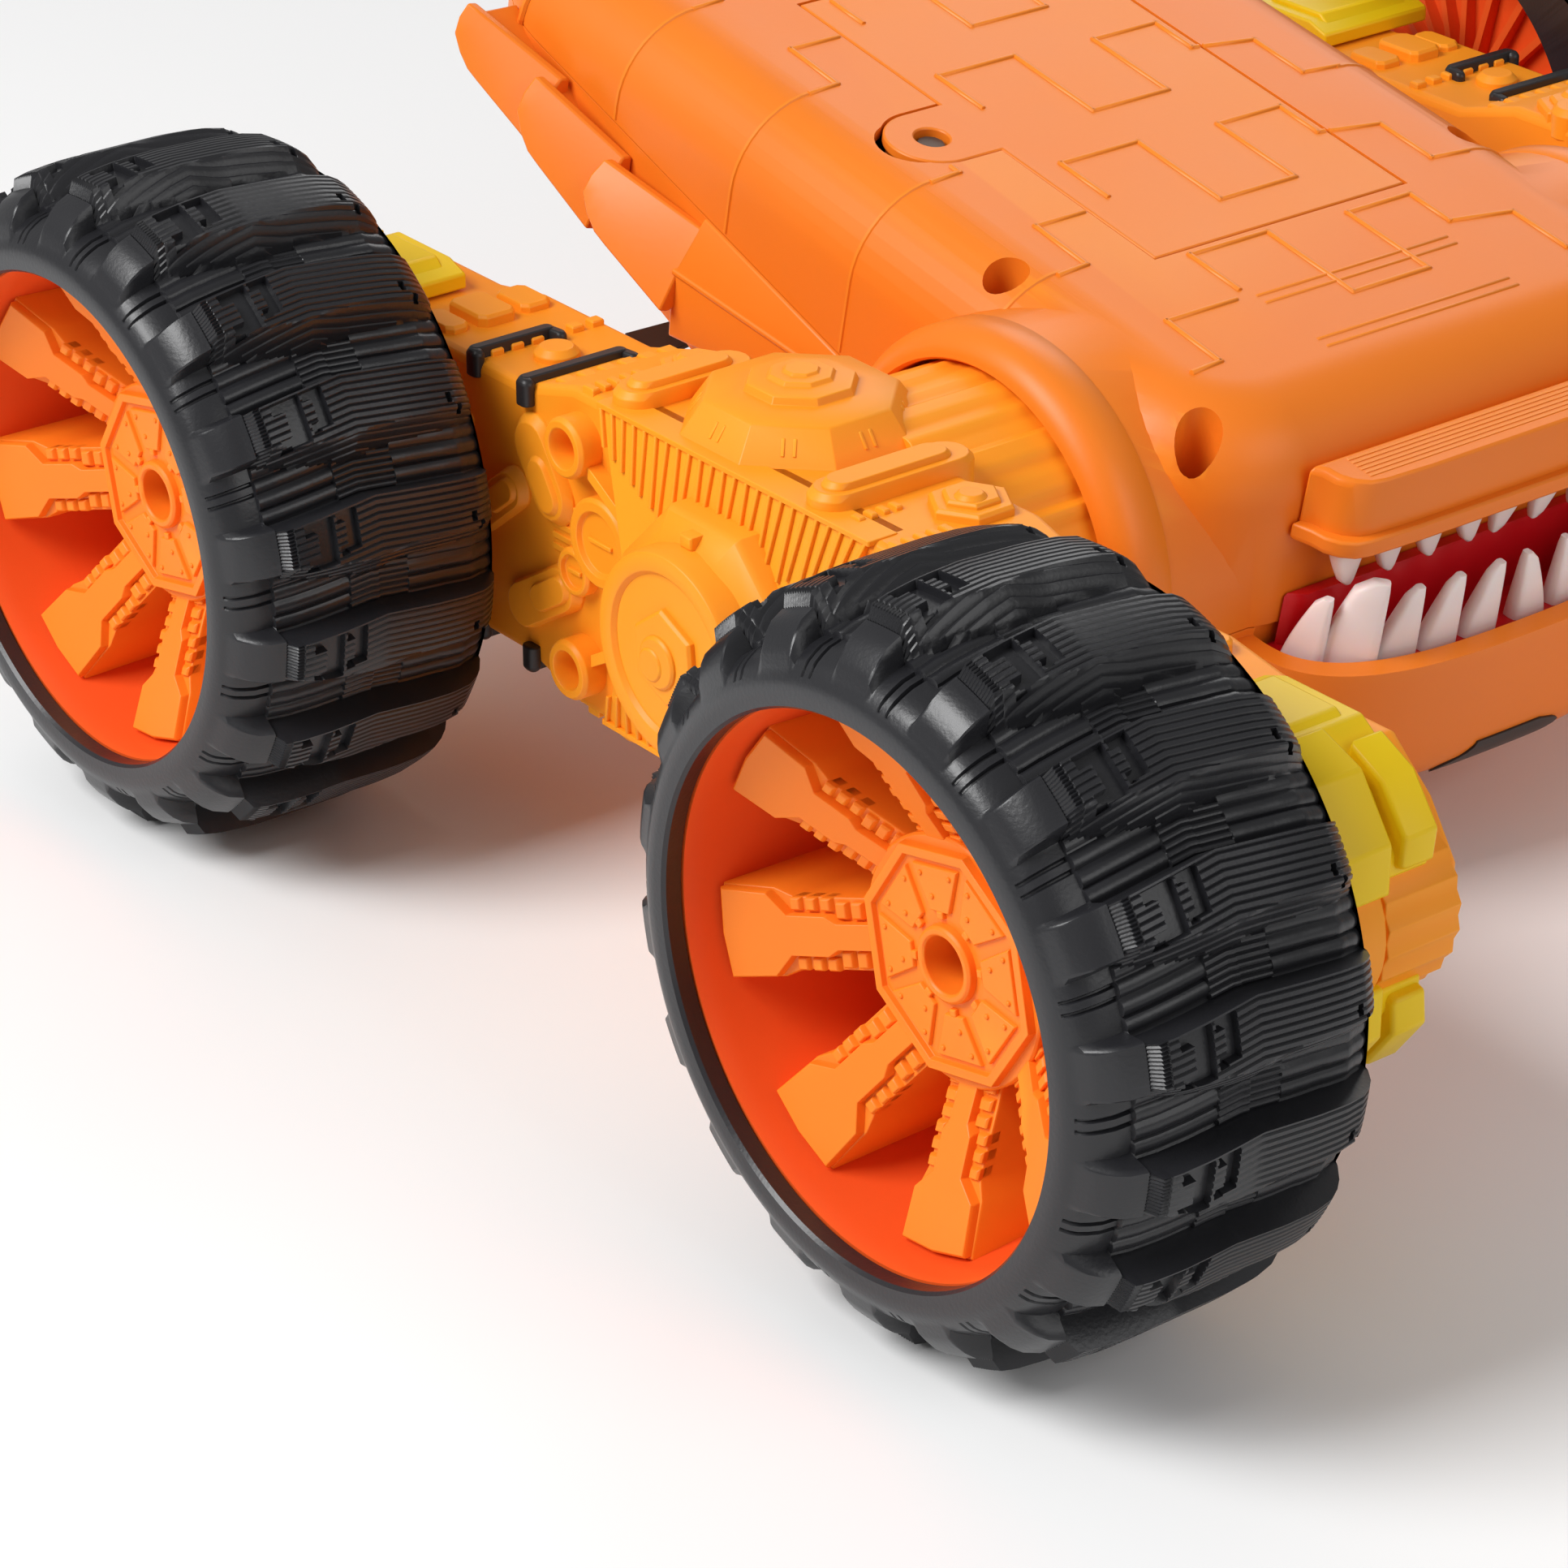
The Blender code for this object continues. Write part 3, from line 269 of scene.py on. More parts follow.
def settle(thing, body, material, bevel=0.0):
    """Puts a piece in the scene with its material and soft edges, riding on its body."""
    if thing.name not in bpy.context.scene.collection.objects:
        bpy.context.scene.collection.objects.link(thing)
    thing.data.materials.clear()
    thing.data.materials.append(MATERIALS[material])
    if bevel:
        step = thing.modifiers.new("soft_edges", "BEVEL")
        step.width = bevel
        step.segments = 2
        step.limit_method = "ANGLE"
        step.angle_limit = math.radians(32)
        step.use_clamp_overlap = True
    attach(thing, body)
    return thing


def solid(shape, name):
    thing = bpy.data.objects.new(name, shape.mesh(name))
    bpy.context.scene.collection.objects.link(thing)
    return thing


def carve(thing, tools, operation="DIFFERENCE"):
    """Applies Booleans with throw-away tools, and keeps the result as plain mesh."""
    for tool in tools:
        step = thing.modifiers.new("carve", "BOOLEAN")
        step.operation, step.solver, step.object = operation, "EXACT", tool
    graph = bpy.context.evaluated_depsgraph_get()
    graph.update()
    result = bpy.data.meshes.new_from_object(thing.evaluated_get(graph))
    thing.modifiers.clear()
    thing.data = result
    for tool in tools:
        bpy.data.objects.remove(tool)
    return thing


def resharpen(thing, sharp=32):
    """Merges the double points of a carved piece and shades it."""
    bm = bmesh.new()
    bm.from_mesh(thing.data)
    bmesh.ops.remove_doubles(bm, verts=bm.verts, dist=0.000005)
    shade(bm, thing.data, sharp)


def ring_points(radius, steps, centre=(0, 0), phase=0.0):
    """Regular outline: a polygon with few steps, a circle with many."""
    return [(centre[0] + radius * math.cos(phase + 2 * math.pi * i / steps),
             centre[1] + radius * math.sin(phase + 2 * math.pi * i / steps)) for i in range(steps)]


def rect(x0, y0, x1, y1, cut=0.0):
    """Rectangle outline, with its corners cut if asked."""
    if not cut:
        return [(x0, y0), (x1, y0), (x1, y1), (x0, y1)]
    return [(x0 + cut, y0), (x1 - cut, y0), (x1, y0 + cut), (x1, y1 - cut), (x1 - cut, y1),
            (x0 + cut, y1), (x0, y1 - cut), (x0, y0 + cut)]


def capsule(x0, y0, x1, y1, radius, steps=8):
    """Outline of a bar with round ends from one centre to the other."""
    turn = math.atan2(y1 - y0, x1 - x0)
    points = []
    for cx, cy, start in ((x1, y1, turn - math.pi / 2), (x0, y0, turn + math.pi / 2)):
        for i in range(steps + 1):
            angle = start + math.pi * i / steps
            points.append((cx + radius * math.cos(angle), cy + radius * math.sin(angle)))
    return points


def mirrored(half, middle=()):
    """Outline from one half, a point on the x axis if given, and the half's reflection."""
    return half + list(middle) + [(x, -y) for x, y in reversed(half)]


def blend_points(points, t):
    """Value at t of a piecewise straight line through (t, value) points."""
    for (t0, v0), (t1, v1) in zip(points, points[1:]):
        if t <= t1:
            return v0 + (v1 - v0) * (t - t0) / (t1 - t0)
    return points[-1][1]


# ---------------------------------------------------------------- tyres
# t runs across the width from the outer lip (0) to the inner edge (1), u round one pitch.
LUGS = 18
# (t, radius of the tread blocks)
CROWN = ((0.0, 0.0490), (0.012, 0.0512), (0.03, 0.0548), (0.06, 0.0574), (0.10, 0.0592),
         (0.15, 0.0603), (0.22, 0.0611), (0.32, 0.0616), (0.40, 0.0617), (0.70, 0.0617),
         (0.82, 0.0613), (0.90, 0.0604), (0.96, 0.0586), (1.0, 0.0556))
# (t, depth of the valleys below the blocks)
SINK = ((0.0, 0.0004), (0.012, 0.0012), (0.03, 0.0034), (0.08, 0.0054), (0.16, 0.0064),
        (0.40, 0.0062), (0.80, 0.0056), (0.95, 0.0042), (1.0, 0.0020))
# (t, u where a block ends)
FOOT = ((0.0, 0.40), (0.175, 0.46), (0.24, 0.53), (0.42, 0.66), (0.50, 0.70), (0.62, 0.62),
        (1.0, 0.56))
BEND = math.radians(2.6)   # turn of the tread's middle against its edges
RIBS, RIB_STEPS, LUG_START = 17, 4, -0.20
SHOULDER, KNURL_START, KNURL_END = 0.150, 0.168, 0.192
PAD_DROP, RIB_DEPTH, KNURL_DEPTH, POCKET_DEPTH = 0.0020, 0.00034, 0.00045, 0.0014
PAD_FROM, PAD_TO, PAD_EDGE = -0.06, 0.44, 0.05      # u of the shoulder wedge and its soft edges
PAD_LIP, PAD_FULL = 0.012, 0.030                    # t where the wedge starts and is full
STRAPS, STRAP_DEPTH = ((0.56, 0.59), (0.67, 0.70)), 0.0007
SHELF_SHARE, SLOPE_SHARE = 0.74, 0.72   # level share of a block, and how far its slope falls
MIDDLE_FROM, MIDDLE_STEP, MIDDLE_TO = 0.42, 0.53, 0.645   # t of the finely fluted middle
# (t from, t to, u from, u to) of the small recesses in a block
POCKETS = ((0.270, 0.332, 0.03, 0.42), (0.226, 0.270, 0.03, 0.13), (0.226, 0.270, 0.33, 0.43),
           (0.374, 0.420, 0.03, 0.36), (0.344, 0.374, 0.03, 0.11), (0.344, 0.374, 0.30, 0.37),
           (0.860, 0.882, 0.30, 0.37), (0.898, 0.920, 0.40, 0.47))


def flute(x, count):
    """Round-topped flutes with narrow valleys between them."""
    phase = (x * count) % 1.0
    return math.sqrt(max(0.0, 1 - (2 * phase - 1) ** 2))


def pad_drop(u, t, sink):
    """Smooth wedge on the shoulder: flush with the side wall at the lip, proud at the tread."""
    edge = min((u - PAD_FROM) / PAD_EDGE, (PAD_TO - u) / PAD_EDGE, 1.0)
    if edge <= 0 or t < PAD_LIP:
        strap = t > 0.02 and any(u0 < u < u1 for u0, u1 in STRAPS)
        return sink + (STRAP_DEPTH if strap else 0.0)
    rise = min((t - PAD_LIP) / (PAD_FULL - PAD_LIP), 1.0)
    return sink - edge * rise * max(sink - PAD_DROP, 0.0)


def lug_drop(u, t, sink, column):
    """Ribbed plateau that falls away in a ribbed slope towards its foot."""
    foot = blend_points(FOOT, t)
    shelf = foot * SHELF_SHARE
    drop = SLOPE_SHARE * sink * max(0.0, (u - shelf) / (foot - shelf))
    if t < KNURL_END:
        wall = max(0.0, (KNURL_START - t) / (KNURL_START - SHOULDER))
        return drop + PAD_DROP * wall + (KNURL_DEPTH if column % 2 else 0.0)
    if any(t0 < t < t1 and u0 < u < u1 for t0, t1, u0, u1 in POCKETS):
        return drop + POCKET_DEPTH
    return drop + (RIB_DEPTH if column % RIB_STEPS == 0 else 0.0)


def valley_drop(u, t, sink):
    """Smooth straps near the edges and finer flutes over the middle of the tread."""
    if not MIDDLE_FROM <= t <= MIDDLE_TO:
        return sink - 0.0009 * flute(u + 0.02, 7)
    return sink - (0.0006 if t < MIDDLE_STEP else 0.0002) - 0.0006 * flute(u, RIBS)


def tread_drop(u, t, column):
    """Depth of the tread under its crown, u round the pitch from a lug's leading wall."""
    sink = blend_points(SINK, t)
    if t < SHOULDER:
        return pad_drop(u, t, sink)
    if 0.0 <= u < blend_points(FOOT, t):
        return min(lug_drop(u, t, sink, column), sink)
    return valley_drop(u, t, sink)


def width_samples():
    """Places across the width: close together at the lip, and a pair at every wall."""
    steps = [0.0, 0.008, 0.013, 0.022, 0.030, 0.045, 0.07, 0.10, 0.13, 0.20, 0.21, 0.25, 0.30,
             0.36, 0.40, 0.44, 0.46, 0.48, 0.50, 0.56, 0.60, 0.68, 0.72, 0.76, 0.80, 0.83,
             0.94, 0.97, 0.985, 1.0]
    walls = {SHOULDER, KNURL_START, KNURL_END, MIDDLE_FROM, MIDDLE_STEP, MIDDLE_TO}
    walls |= {t for pocket in POCKETS for t in pocket[:2]}
    for t in walls:
        steps += [t - 0.0012, t + 0.0012]
    return sorted(steps)


def tyre_mesh():
    """One tyre about z, with its outer lip at height 0 and the inner edge below."""
    marks, columns = width_samples(), RIBS * RIB_STEPS
    pitch = 2 * math.pi / LUGS
    inside = [(1.0, 0.0550), (1.0, 0.0430), (0.962, 0.0424), (0.956, 0.0462), (0.075, 0.0462),
              (0.068, 0.0452), (0.012, 0.0450), (0.0, 0.0455), (-0.002, 0.0470)]
    shares = [LUG_START + (i + 0.5) / columns for i in range(columns)]
    count = len(marks) + len(inside)
    verts, faces = [], []
    for lug in range(LUGS):
        for column, u in enumerate(shares):
            base = (lug + u - 0.25) * pitch - math.pi / 2
            for t in marks:
                radius = blend_points(CROWN, t) - tread_drop(u, t, column)
                angle = base - BEND * (1 - abs(2 * t - 1))
                verts.append((radius * math.cos(angle), radius * math.sin(angle),
                              -t * TYRE_WIDTH))
            for t, radius in inside:
                verts.append((radius * math.cos(base), radius * math.sin(base),
                              -t * TYRE_WIDTH))
    total = LUGS * columns
    for i in range(total):
        near, far = i * count, (i + 1) % total * count
        for k in range(count):
            n = (k + 1) % count
            faces.append((near + k, near + n, far + n, far + k))
    return Shape().add(verts, faces).mesh("tyre", sharp=24)


def wheel_frame(side, end):
    """Frame of a wheel: z outwards along the axle, with the tyre's lip at height 0."""
    return across(side, end * HALF_BASE) @ Matrix.Translation((0, 0, LIP_X))


# ---------------------------------------------------------------- rims
SPOKES, SPOKE_PHASE = 8, math.radians(-12.5)
HUB_DEPTH, SPOKE_HUB_DEPTH, SPOKE_END_DEPTH = 0.0187, 0.0222, 0.0092
SPOKE_IN, SPOKE_OUT, WEB_DEPTH = 0.0165, 0.0432, 0.0360
BLOCKS, BLOCKS_FROM, BLOCK_PITCH, BLOCK_LONG = 6, 0.0188, 0.00235, 0.00165


def spoke_frame(index, turn):
    """x outwards along the spoke, y across it, z up out of the wheel."""
    return Matrix.Rotation(turn + 2 * math.pi * index / SPOKES, 4, "Z")


def spoke_slab(shape, outline, rise, index, phase, chamfer=0.0004, bottom=None):
    """Slab whose top follows the sloping face of a spoke."""
    def face(x):
        share = min(max((x - SPOKE_IN) / (SPOKE_OUT - SPOKE_IN), 0.0), 1.0)
        return -(SPOKE_HUB_DEPTH + (SPOKE_END_DEPTH - SPOKE_HUB_DEPTH) * share ** 0.9)
    cx = sum(p[0] for p in outline) / len(outline)
    cy = sum(p[1] for p in outline) / len(outline)
    reach = max(math.hypot(p[0] - cx, p[1] - cy) for p in outline)
    k = 1 - chamfer / reach
    inner = [(cx + (x - cx) * k, cy + (y - cy) * k) for x, y in outline]
    rings = [[(x, y, -bottom if bottom else face(x) + rise - 0.003) for x, y in outline],
             [(x, y, face(x) + rise - chamfer) for x, y in outline],
             [(x, y, face(x) + rise) for x, y in inner]]
    shape.loft(rings, spoke_frame(index, phase))


def add_spoke(shape, index, phase):
    """Web, raised band down its middle and a ladder of small blocks on each side."""
    core = mirrored([(SPOKE_IN, -0.0060), (0.0320, -0.0060), (0.0350, -0.0074),
                     (SPOKE_OUT, -0.0078)], [(SPOKE_OUT + 0.0005, 0)])
    spoke_slab(shape, core, -0.0014, index, phase, bottom=WEB_DEPTH + 0.001)
    band = mirrored([(SPOKE_IN, -0.0022), (0.0245, -0.0022), (0.0262, -0.0034),
                     (0.0322, -0.0034), (0.0352, -0.0070), (SPOKE_OUT - 0.0006, -0.0075)],
                    [(SPOKE_OUT, 0)])
    spoke_slab(shape, band, 0.0003, index, phase, chamfer=0.0006)
    for i in range(BLOCKS):
        x = BLOCKS_FROM + BLOCK_PITCH * i
        inner, outer = (0.0026, 0.0054) if i < BLOCKS / 2 else (0.0038, 0.0060)
        for low, high in ((-outer, -inner), (inner, outer)):
            spoke_slab(shape, rect(x, low, x + BLOCK_LONG, high), -0.0006, index, phase)


def add_hub_plate(shape, phase):
    """Eight-sided plate with a raised edge, panels, rivets, spoke roots and a bore."""
    top = -HUB_DEPTH
    half = math.pi / SPOKES
    shape.lathe([(top - 0.0040, 0.0075), (top - 0.0040, 0.0203), (top - 0.0018, 0.0203),
                 (top - 0.0014, 0.0199), (top - 0.0014, 0.0075)], 64)
    octagon = ring_points(0.0198, 8, phase=phase + half)
    inner = ring_points(0.0176, 8, phase=phase + half)
    rings = [[(x, y, top - 0.0018) for x, y in octagon],
             [(x * 0.985, y * 0.985, top) for x, y in octagon],
             [(x * 1.015, y * 1.015, top) for x, y in inner],
             [(x, y, top - 0.0010) for x, y in inner],
             [(x * 0.3, y * 0.3, top - 0.0010) for x, y in inner],
             [(x * 0.3, y * 0.3, top - 0.0018) for x, y in inner]]
    shape.loft(rings + [rings[0]], capped=False)
    for i in range(8):
        turn = Matrix.Rotation(phase + half + 2 * half * (i + 0.5), 4, "Z")
        panel = [(0.0082, -0.0021), (0.0154, -0.0053), (0.0154, 0.0053), (0.0082, 0.0021)]
        shape.slab(panel, top - 0.0012, top - 0.0003, turn, chamfer=0.0003)
        for x, y in ((0.0140, -0.0034), (0.0140, 0.0034), (0.0106, -0.0012)):
            shape.lathe([(top - 0.0004, 0.00050), (top - 0.0001, 0.00045),
                         (top + 0.00008, 0.00022)], 10,
                        turn @ Matrix.Translation((x, y, 0)), closed=False)
        shape.slab(rect(0.0072, -0.0007, 0.0084, 0.0007), top - 0.0012, top - 0.0002,
                   Matrix.Rotation(phase + 2 * half * i, 4, "Z"), chamfer=0.0002)
        shape.slab(rect(0.0186, -0.0036, 0.0228, 0.0036, 0.0004), top - 0.0060, top - 0.0024,
                   Matrix.Rotation(phase + 2 * half * i, 4, "Z"), chamfer=0.0004)
    shape.lathe([(top - 0.0014, 0.0064), (top + 0.0001, 0.0062), (top + 0.0005, 0.0057),
                 (top + 0.0005, 0.0050), (top + 0.0001, 0.0046), (top - 0.0113, 0.0045),
                 (top - 0.0113, 0.0064)], 40)


def rim_meshes():
    """Bright face (spokes and hub) and deep barrel, whose darker red material is painted shade, about z with the
    lip plane at 0.
    """
    deep, fins = Shape(), 24
    deep.lathe([(-0.0040, 0.0459), (-0.0500, 0.0459), (-0.0505, 0.0450), (-0.0505, 0.0420),
                (-0.0495, 0.0416), (-0.0420, 0.0424), (-0.0404, 0.0415), (-0.0398, 0.0380),
                (-0.0380, 0.0110), (-0.0386, 0.0090), (-0.0520, 0.0085), (-0.0520, 0.0034),
                (-0.0300, 0.0034), (-0.0300, 0.0064), (-0.0230, 0.0070), (-0.0250, 0.0120),
                (-0.0335, 0.0140), (-0.0352, 0.0180), (-0.0362, 0.0400), (-0.0352, 0.0420),
                (-0.0330, 0.0428), (-0.0075, 0.0440), (-0.0055, 0.0446), (-0.0040, 0.0450)],
               96)
    face = Shape()
    for index in range(SPOKES):
        add_spoke(face, index, SPOKE_PHASE)
    add_hub_plate(face, SPOKE_PHASE)
    for index in range(fins):
        turn = Matrix.Rotation(2 * math.pi * index / fins, 4, "Z")
        deep.slab(rect(0.0120, -0.0008, 0.0405, 0.0008), -0.0380, -0.0416, turn, chamfer=0.0003)
    return face.mesh("rim_face", 30), deep.mesh("rim_barrel", 30)


def wheel_piece(name, tag, data, material, place, bevel=0.0):
    copy = data.copy()
    copy.transform(place)
    if place.determinant() < 0:
        copy.flip_normals()
    return settle(bpy.data.objects.new(name, copy), f"{tag}_wheel", material, bevel)


def build_wheels():
    tyre = tyre_mesh()
    face, barrel = rim_meshes()
    for side_name, side in SIDES.items():
        for end_name, end in ENDS.items():
            tag, place = f"{side_name}_{end_name}", wheel_frame(side, end)
            tread = wheel_piece(f"{tag}_tyre_tread", tag, tyre, "tyre_black", place)
            spokes = wheel_piece(f"{tag}_rim_spokes", tag, face, "rim_orange", place,
                                 0.00018)
            # The barrel takes the darker copy of the rim orange, which is painted shade.
            wheel_piece(f"{tag}_rim_barrel", tag, barrel, "rim_orange_painted_shade", place)
            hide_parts(f"{tag}_tyre")
            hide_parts(f"{tag}_rim")


# ---------------------------------------------------------------- body surfaces
HALF_BODY, BODY_FRONT, BODY_REAR, BACK = 0.066, -0.0415, 0.177, -0.034
BELLY_ROUND, BACK_ROUND, CORNER = 0.0165, 0.020, 0.026
WALL = 0.0024
PARTING = math.tan(math.radians(9.3))
DOOR = {"wide": DOOR_EDGE.x, "front": 0.0138, "rear": 0.1167}
TAB = (-0.0397, 0.0655, 0.0090)
WELLS = [(side * 0.0565, y) for side in (-1, 1) for y in (-0.0288, 0.0235)]
WELL_R, POST_SKIN = 0.0040, 0.0004


def trimmed_posts(name, low, high, radius):
    """Screw posts cut back so that none stands out of the shell."""
    return carve(wells(name, low, high, radius), [body_block("trim", POST_SKIN)], "INTERSECT")


def plan(inset, arc=12):
    """Plan outline of the body with round corners."""
    radius = max(CORNER - inset, 0.004)
    half = HALF_BODY - inset - radius
    front, rear = BODY_FRONT + inset + radius, BODY_REAR - inset - radius
    points = []
    for x, y, start in ((half, rear, 0), (-half, rear, 90), (-half, front, 180),
                        (half, front, 270)):
        for i in range(arc + 1):
            angle = math.radians(start + 90 * i / arc)
            points.append((x + radius * math.cos(angle), y + radius * math.sin(angle)))
    return points


def body_levels(inset, steps=10):
    """(height, how far the plan draws in) up the rounded back and belly edges."""
    levels = []
    for i in range(steps, -1, -1):
        angle = math.radians(90 * i / steps)
        levels.append((BACK + inset + BACK_ROUND * (1 - math.sin(angle)),
                       BACK_ROUND * (1 - math.cos(angle))))
    for i in range(steps + 1):
        angle = math.radians(90 * i / steps)
        levels.append((BELLY - inset - BELLY_ROUND * (1 - math.sin(angle)),
                       BELLY_ROUND * (1 - math.cos(angle))))
    return levels


def body_block(name, inset):
    rings = [[(x, y, z) for x, y in plan(inset + draw)] for z, draw in body_levels(inset)]
    return solid(Shape().loft(rings, BODY_FRAME), name)


def tube_block(name, side, x0, x1, radius, steps=64):
    return solid(Shape().lathe([(x0, radius), (x1, radius)], steps, across(side), closed=False),
                 name)


def half_space(name, below):
    """Everything on one side of the stepped parting between the two shells."""
    reach = 0.4
    far, gap = (-reach, 0.00015) if below else (reach, -0.00015)
    outline = [(-reach, far), (reach, far), (reach, reach * PARTING + gap), (0, gap),
               (-reach, gap)]
    return solid(Shape().slab(outline, -reach, reach, BODY_FRAME @ across(1, 0, 0)), name)


def door_outline(grow, arc=20):
    """Door rectangle with the round screw tab on one side."""
    wide, front, rear = DOOR["wide"] + grow, DOOR["front"] - grow, DOOR["rear"] + grow
    x, y, radius = TAB[0], TAB[1], TAB[2] + grow
    tab = [(x + radius * math.cos(math.radians(90 + 180 * i / arc)),
            y + radius * math.sin(math.radians(90 + 180 * i / arc))) for i in range(arc + 1)]
    return ([(wide, front), (wide, rear), (-wide, rear), (-wide, y + radius)] + tab
            + [(-wide, y - radius), (-wide, front)])


def wells(name, low, high, radius, steps=28):
    shape = Shape()
    for x, y in WELLS:
        shape.slab(ring_points(radius, steps, (x, y)), low, high, BODY_FRAME)
    return solid(shape, name)


def with_sockets(shell):
    """Adds the round cheeks that hold the collars, bored for the arm pivots."""
    for side in (-1, 1):
        carve(shell, [tube_block("bulge", side, 0.044, 0.0664, 0.0404)], "UNION")
        carve(shell, [tube_block("hollow", side, 0.0464, 0.0640, 0.0382),
                      tube_block("mouth", side, 0.030, 0.050, 0.0300),
                      tube_block("bore", side, 0.060, 0.080, 0.0125, 32)])


def build_belly():
    shell = body_block("belly_cover", 0.0)
    carve(shell, [body_block("inner", WALL)])
    with_sockets(shell)
    carve(shell, [trimmed_posts("posts", -0.004, 0.0395, 0.0056)], "UNION")
    door = solid(Shape().slab(door_outline(0.0005), 0.030, 0.060, BODY_FRAME), "door_gap")
    recess = solid(Shape().slab(ring_points(0.0075, 32, (TAB[0] - 0.004, TAB[1])), 0.032, 0.062,
                                BODY_FRAME), "recess")
    switch = solid(Shape().slab(rect(-0.0048, 0.139, 0.0048, 0.145), 0.030, 0.060, BODY_FRAME),
                   "switch_gap")
    carve(shell, [half_space("below", True), wells("wells", 0.020, 0.060, WELL_R),
                  wells("holes", -0.02, 0.03, 0.0017, 12), door, recess, switch])
    resharpen(shell)
    settle(shell, "chassis", "body_orange", 0.0003)
    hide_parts("belly_shell")


# ---------------------------------------------------------------- lines on the belly
RIDGE_WIDTH, RIDGE_HEIGHT = 0.0013, 0.00042
ROW_PITCH, ROW_COUNT, FIRST_ROW = 0.0357, 4, 0.0118
ROW_STEPS = ((-0.0240, -0.0130), (-0.0240, 0.0), (-0.0054, 0.0), (-0.0054, -0.0230),
             (0.0130, -0.0230), (0.0130, -0.0015), (0.0286, -0.0015), (0.0286, -0.0122),
             (0.0420, -0.0150), (0.0420, -0.0290), (0.0500, -0.0300))
GRIP_LINES = (-0.0045, -0.0070, -0.0205, -0.0230)
SHOULDER_SEAMS = (0.0178, 0.0530, 0.0885, 0.1240, 0.1560)
BRANCH_STEPS = ((-0.0270, -0.0155), (-0.0430, -0.0155), (-0.0434, -0.0300), (-0.0500, -0.0305))


def ridge(shape, points, height=RIDGE_HEIGHT, width=RIDGE_WIDTH, level=BELLY):
    """Soft raised line along straight runs on the flat belly."""
    for (x0, y0), (x1, y1) in zip(points, points[1:]):
        length = math.hypot(x1 - x0, y1 - y0)
        if length < 0.0004:
            continue
        place = BODY_FRAME @ Matrix.Translation(((x0 + x1) / 2, (y0 + y1) / 2, level))
        place = place @ Matrix.Rotation(math.atan2(y1 - y0, x1 - x0), 4, "Z")
        reach, rings = length / 2 + width * 0.4, []
        for end, drop in ((-1, 0.0003), (-0.985, 0.0), (0.985, 0.0), (1, 0.0003)):
            rings.append([(end * reach, width / 2 * across_share, lift - (drop if lift > 0 else 0))
                          for across_share, lift in ((-1, -0.0003), (-0.72, height * 0.62),
                                                     (-0.3, height), (0.3, height),
                                                     (0.72, height * 0.62), (1, -0.0003))])
        shape.loft(rings, place)


def clip_run(points, keep):
    """Pieces of a stepped line whose corners and middles all pass the keep test."""
    fine = []
    for (x0, y0), (x1, y1) in zip(points, points[1:]):
        steps = max(1, round(math.hypot(x1 - x0, y1 - y0) / 0.001))
        fine += [(x0 + (x1 - x0) * i / steps, y0 + (y1 - y0) * i / steps, i == 0)
                 for i in range(steps)]
    fine.append(points[-1] + (True,))
    runs, run = [], []
    for x, y, corner in fine:
        if keep(x, y):
            run.append((x, y, corner))
        elif run:
            runs.append(run)
            run = []
    runs.append(run)
    return [[(x, y) for i, (x, y, corner) in enumerate(r) if corner or i in (0, len(r) - 1)]
            for r in runs if len(r) > 3]


def on_door(x, y):
    return (abs(x) < DOOR["wide"] - 0.0008 and DOOR["front"] + 0.0008 < y
            < DOOR["rear"] - 0.0008)


def off_door(x, y):
    near_tab = math.hypot(x - TAB[0], y - TAB[1]) < TAB[2] + 0.0015
    near_well = any(math.hypot(x - wx, y - wy) < WELL_R + 0.0012 for wx, wy in WELLS)
    near_switch = abs(x) < 0.0065 and 0.137 < y < 0.147
    return (not near_tab and not near_well and not near_switch
            and (abs(x) > DOOR["wide"] + 0.0008 or not
                 DOOR["front"] - 0.0008 < y < DOOR["rear"] + 0.0008))


def build_belly_lines():
    """Stepped tile lines on the door and round it, grip lines and shoulder seams."""
    door, lines, seams = Shape(), Shape(), Shape()
    for row in range(ROW_COUNT + 1):
        y = FIRST_ROW + ROW_PITCH * row
        for steps in (ROW_STEPS, BRANCH_STEPS):
            points = [(px, py + y) for px, py in steps]
            for run in clip_run(points, on_door):
                ridge(door, run)
            for run in clip_run(points, off_door):
                ridge(lines, run)
    for y in GRIP_LINES:
        for run in clip_run([(-0.0225, y), (0.0240, y)], off_door):
            ridge(lines, run, height=0.00025, width=0.0008)
    for y in SHOULDER_SEAMS:
        for side in (-1, 1):
            add_shoulder_seam(seams, side, y)
    door.piece("door_panel_lines", "battery_door", "body_orange", sharp=50)
    lines.piece("belly_panel_lines", "chassis", "body_orange", sharp=50)
    seams.piece("shoulder_seams", "chassis", "body_orange")


def shoulder_point(side, y, angle, lift):
    """Point on the rounded shoulder, with angle 0 on the side and 90 on the belly."""
    radius = BELLY_ROUND + lift
    return (side * (HALF_BODY - BELLY_ROUND + radius * math.cos(angle)), y,
            BELLY - BELLY_ROUND + radius * math.sin(angle))


def add_shoulder_seam(shape, side, y):
    """Thin raised line up the side and over the shoulder."""
    rings = []
    lowest = y * PARTING + 0.0008
    path = [("wall", lowest + (BELLY - BELLY_ROUND - lowest) * i / 3) for i in range(3)]
    path += [("round", math.radians(90 * i / 10)) for i in range(11)]
    for kind, value in path:
        ring = []
        for offset, lift in ((-0.0007, -0.0003), (-0.0003, 0.00030), (0.0003, 0.00030),
                             (0.0007, -0.0003)):
            if kind == "wall":
                x, z = side * (HALF_BODY + lift), value
            else:
                x, _, z = shoulder_point(side, 0, value, lift)
            ring.append((x, y + offset, z))
        rings.append(ring)
    shape.loft(rings, BODY_FRAME)


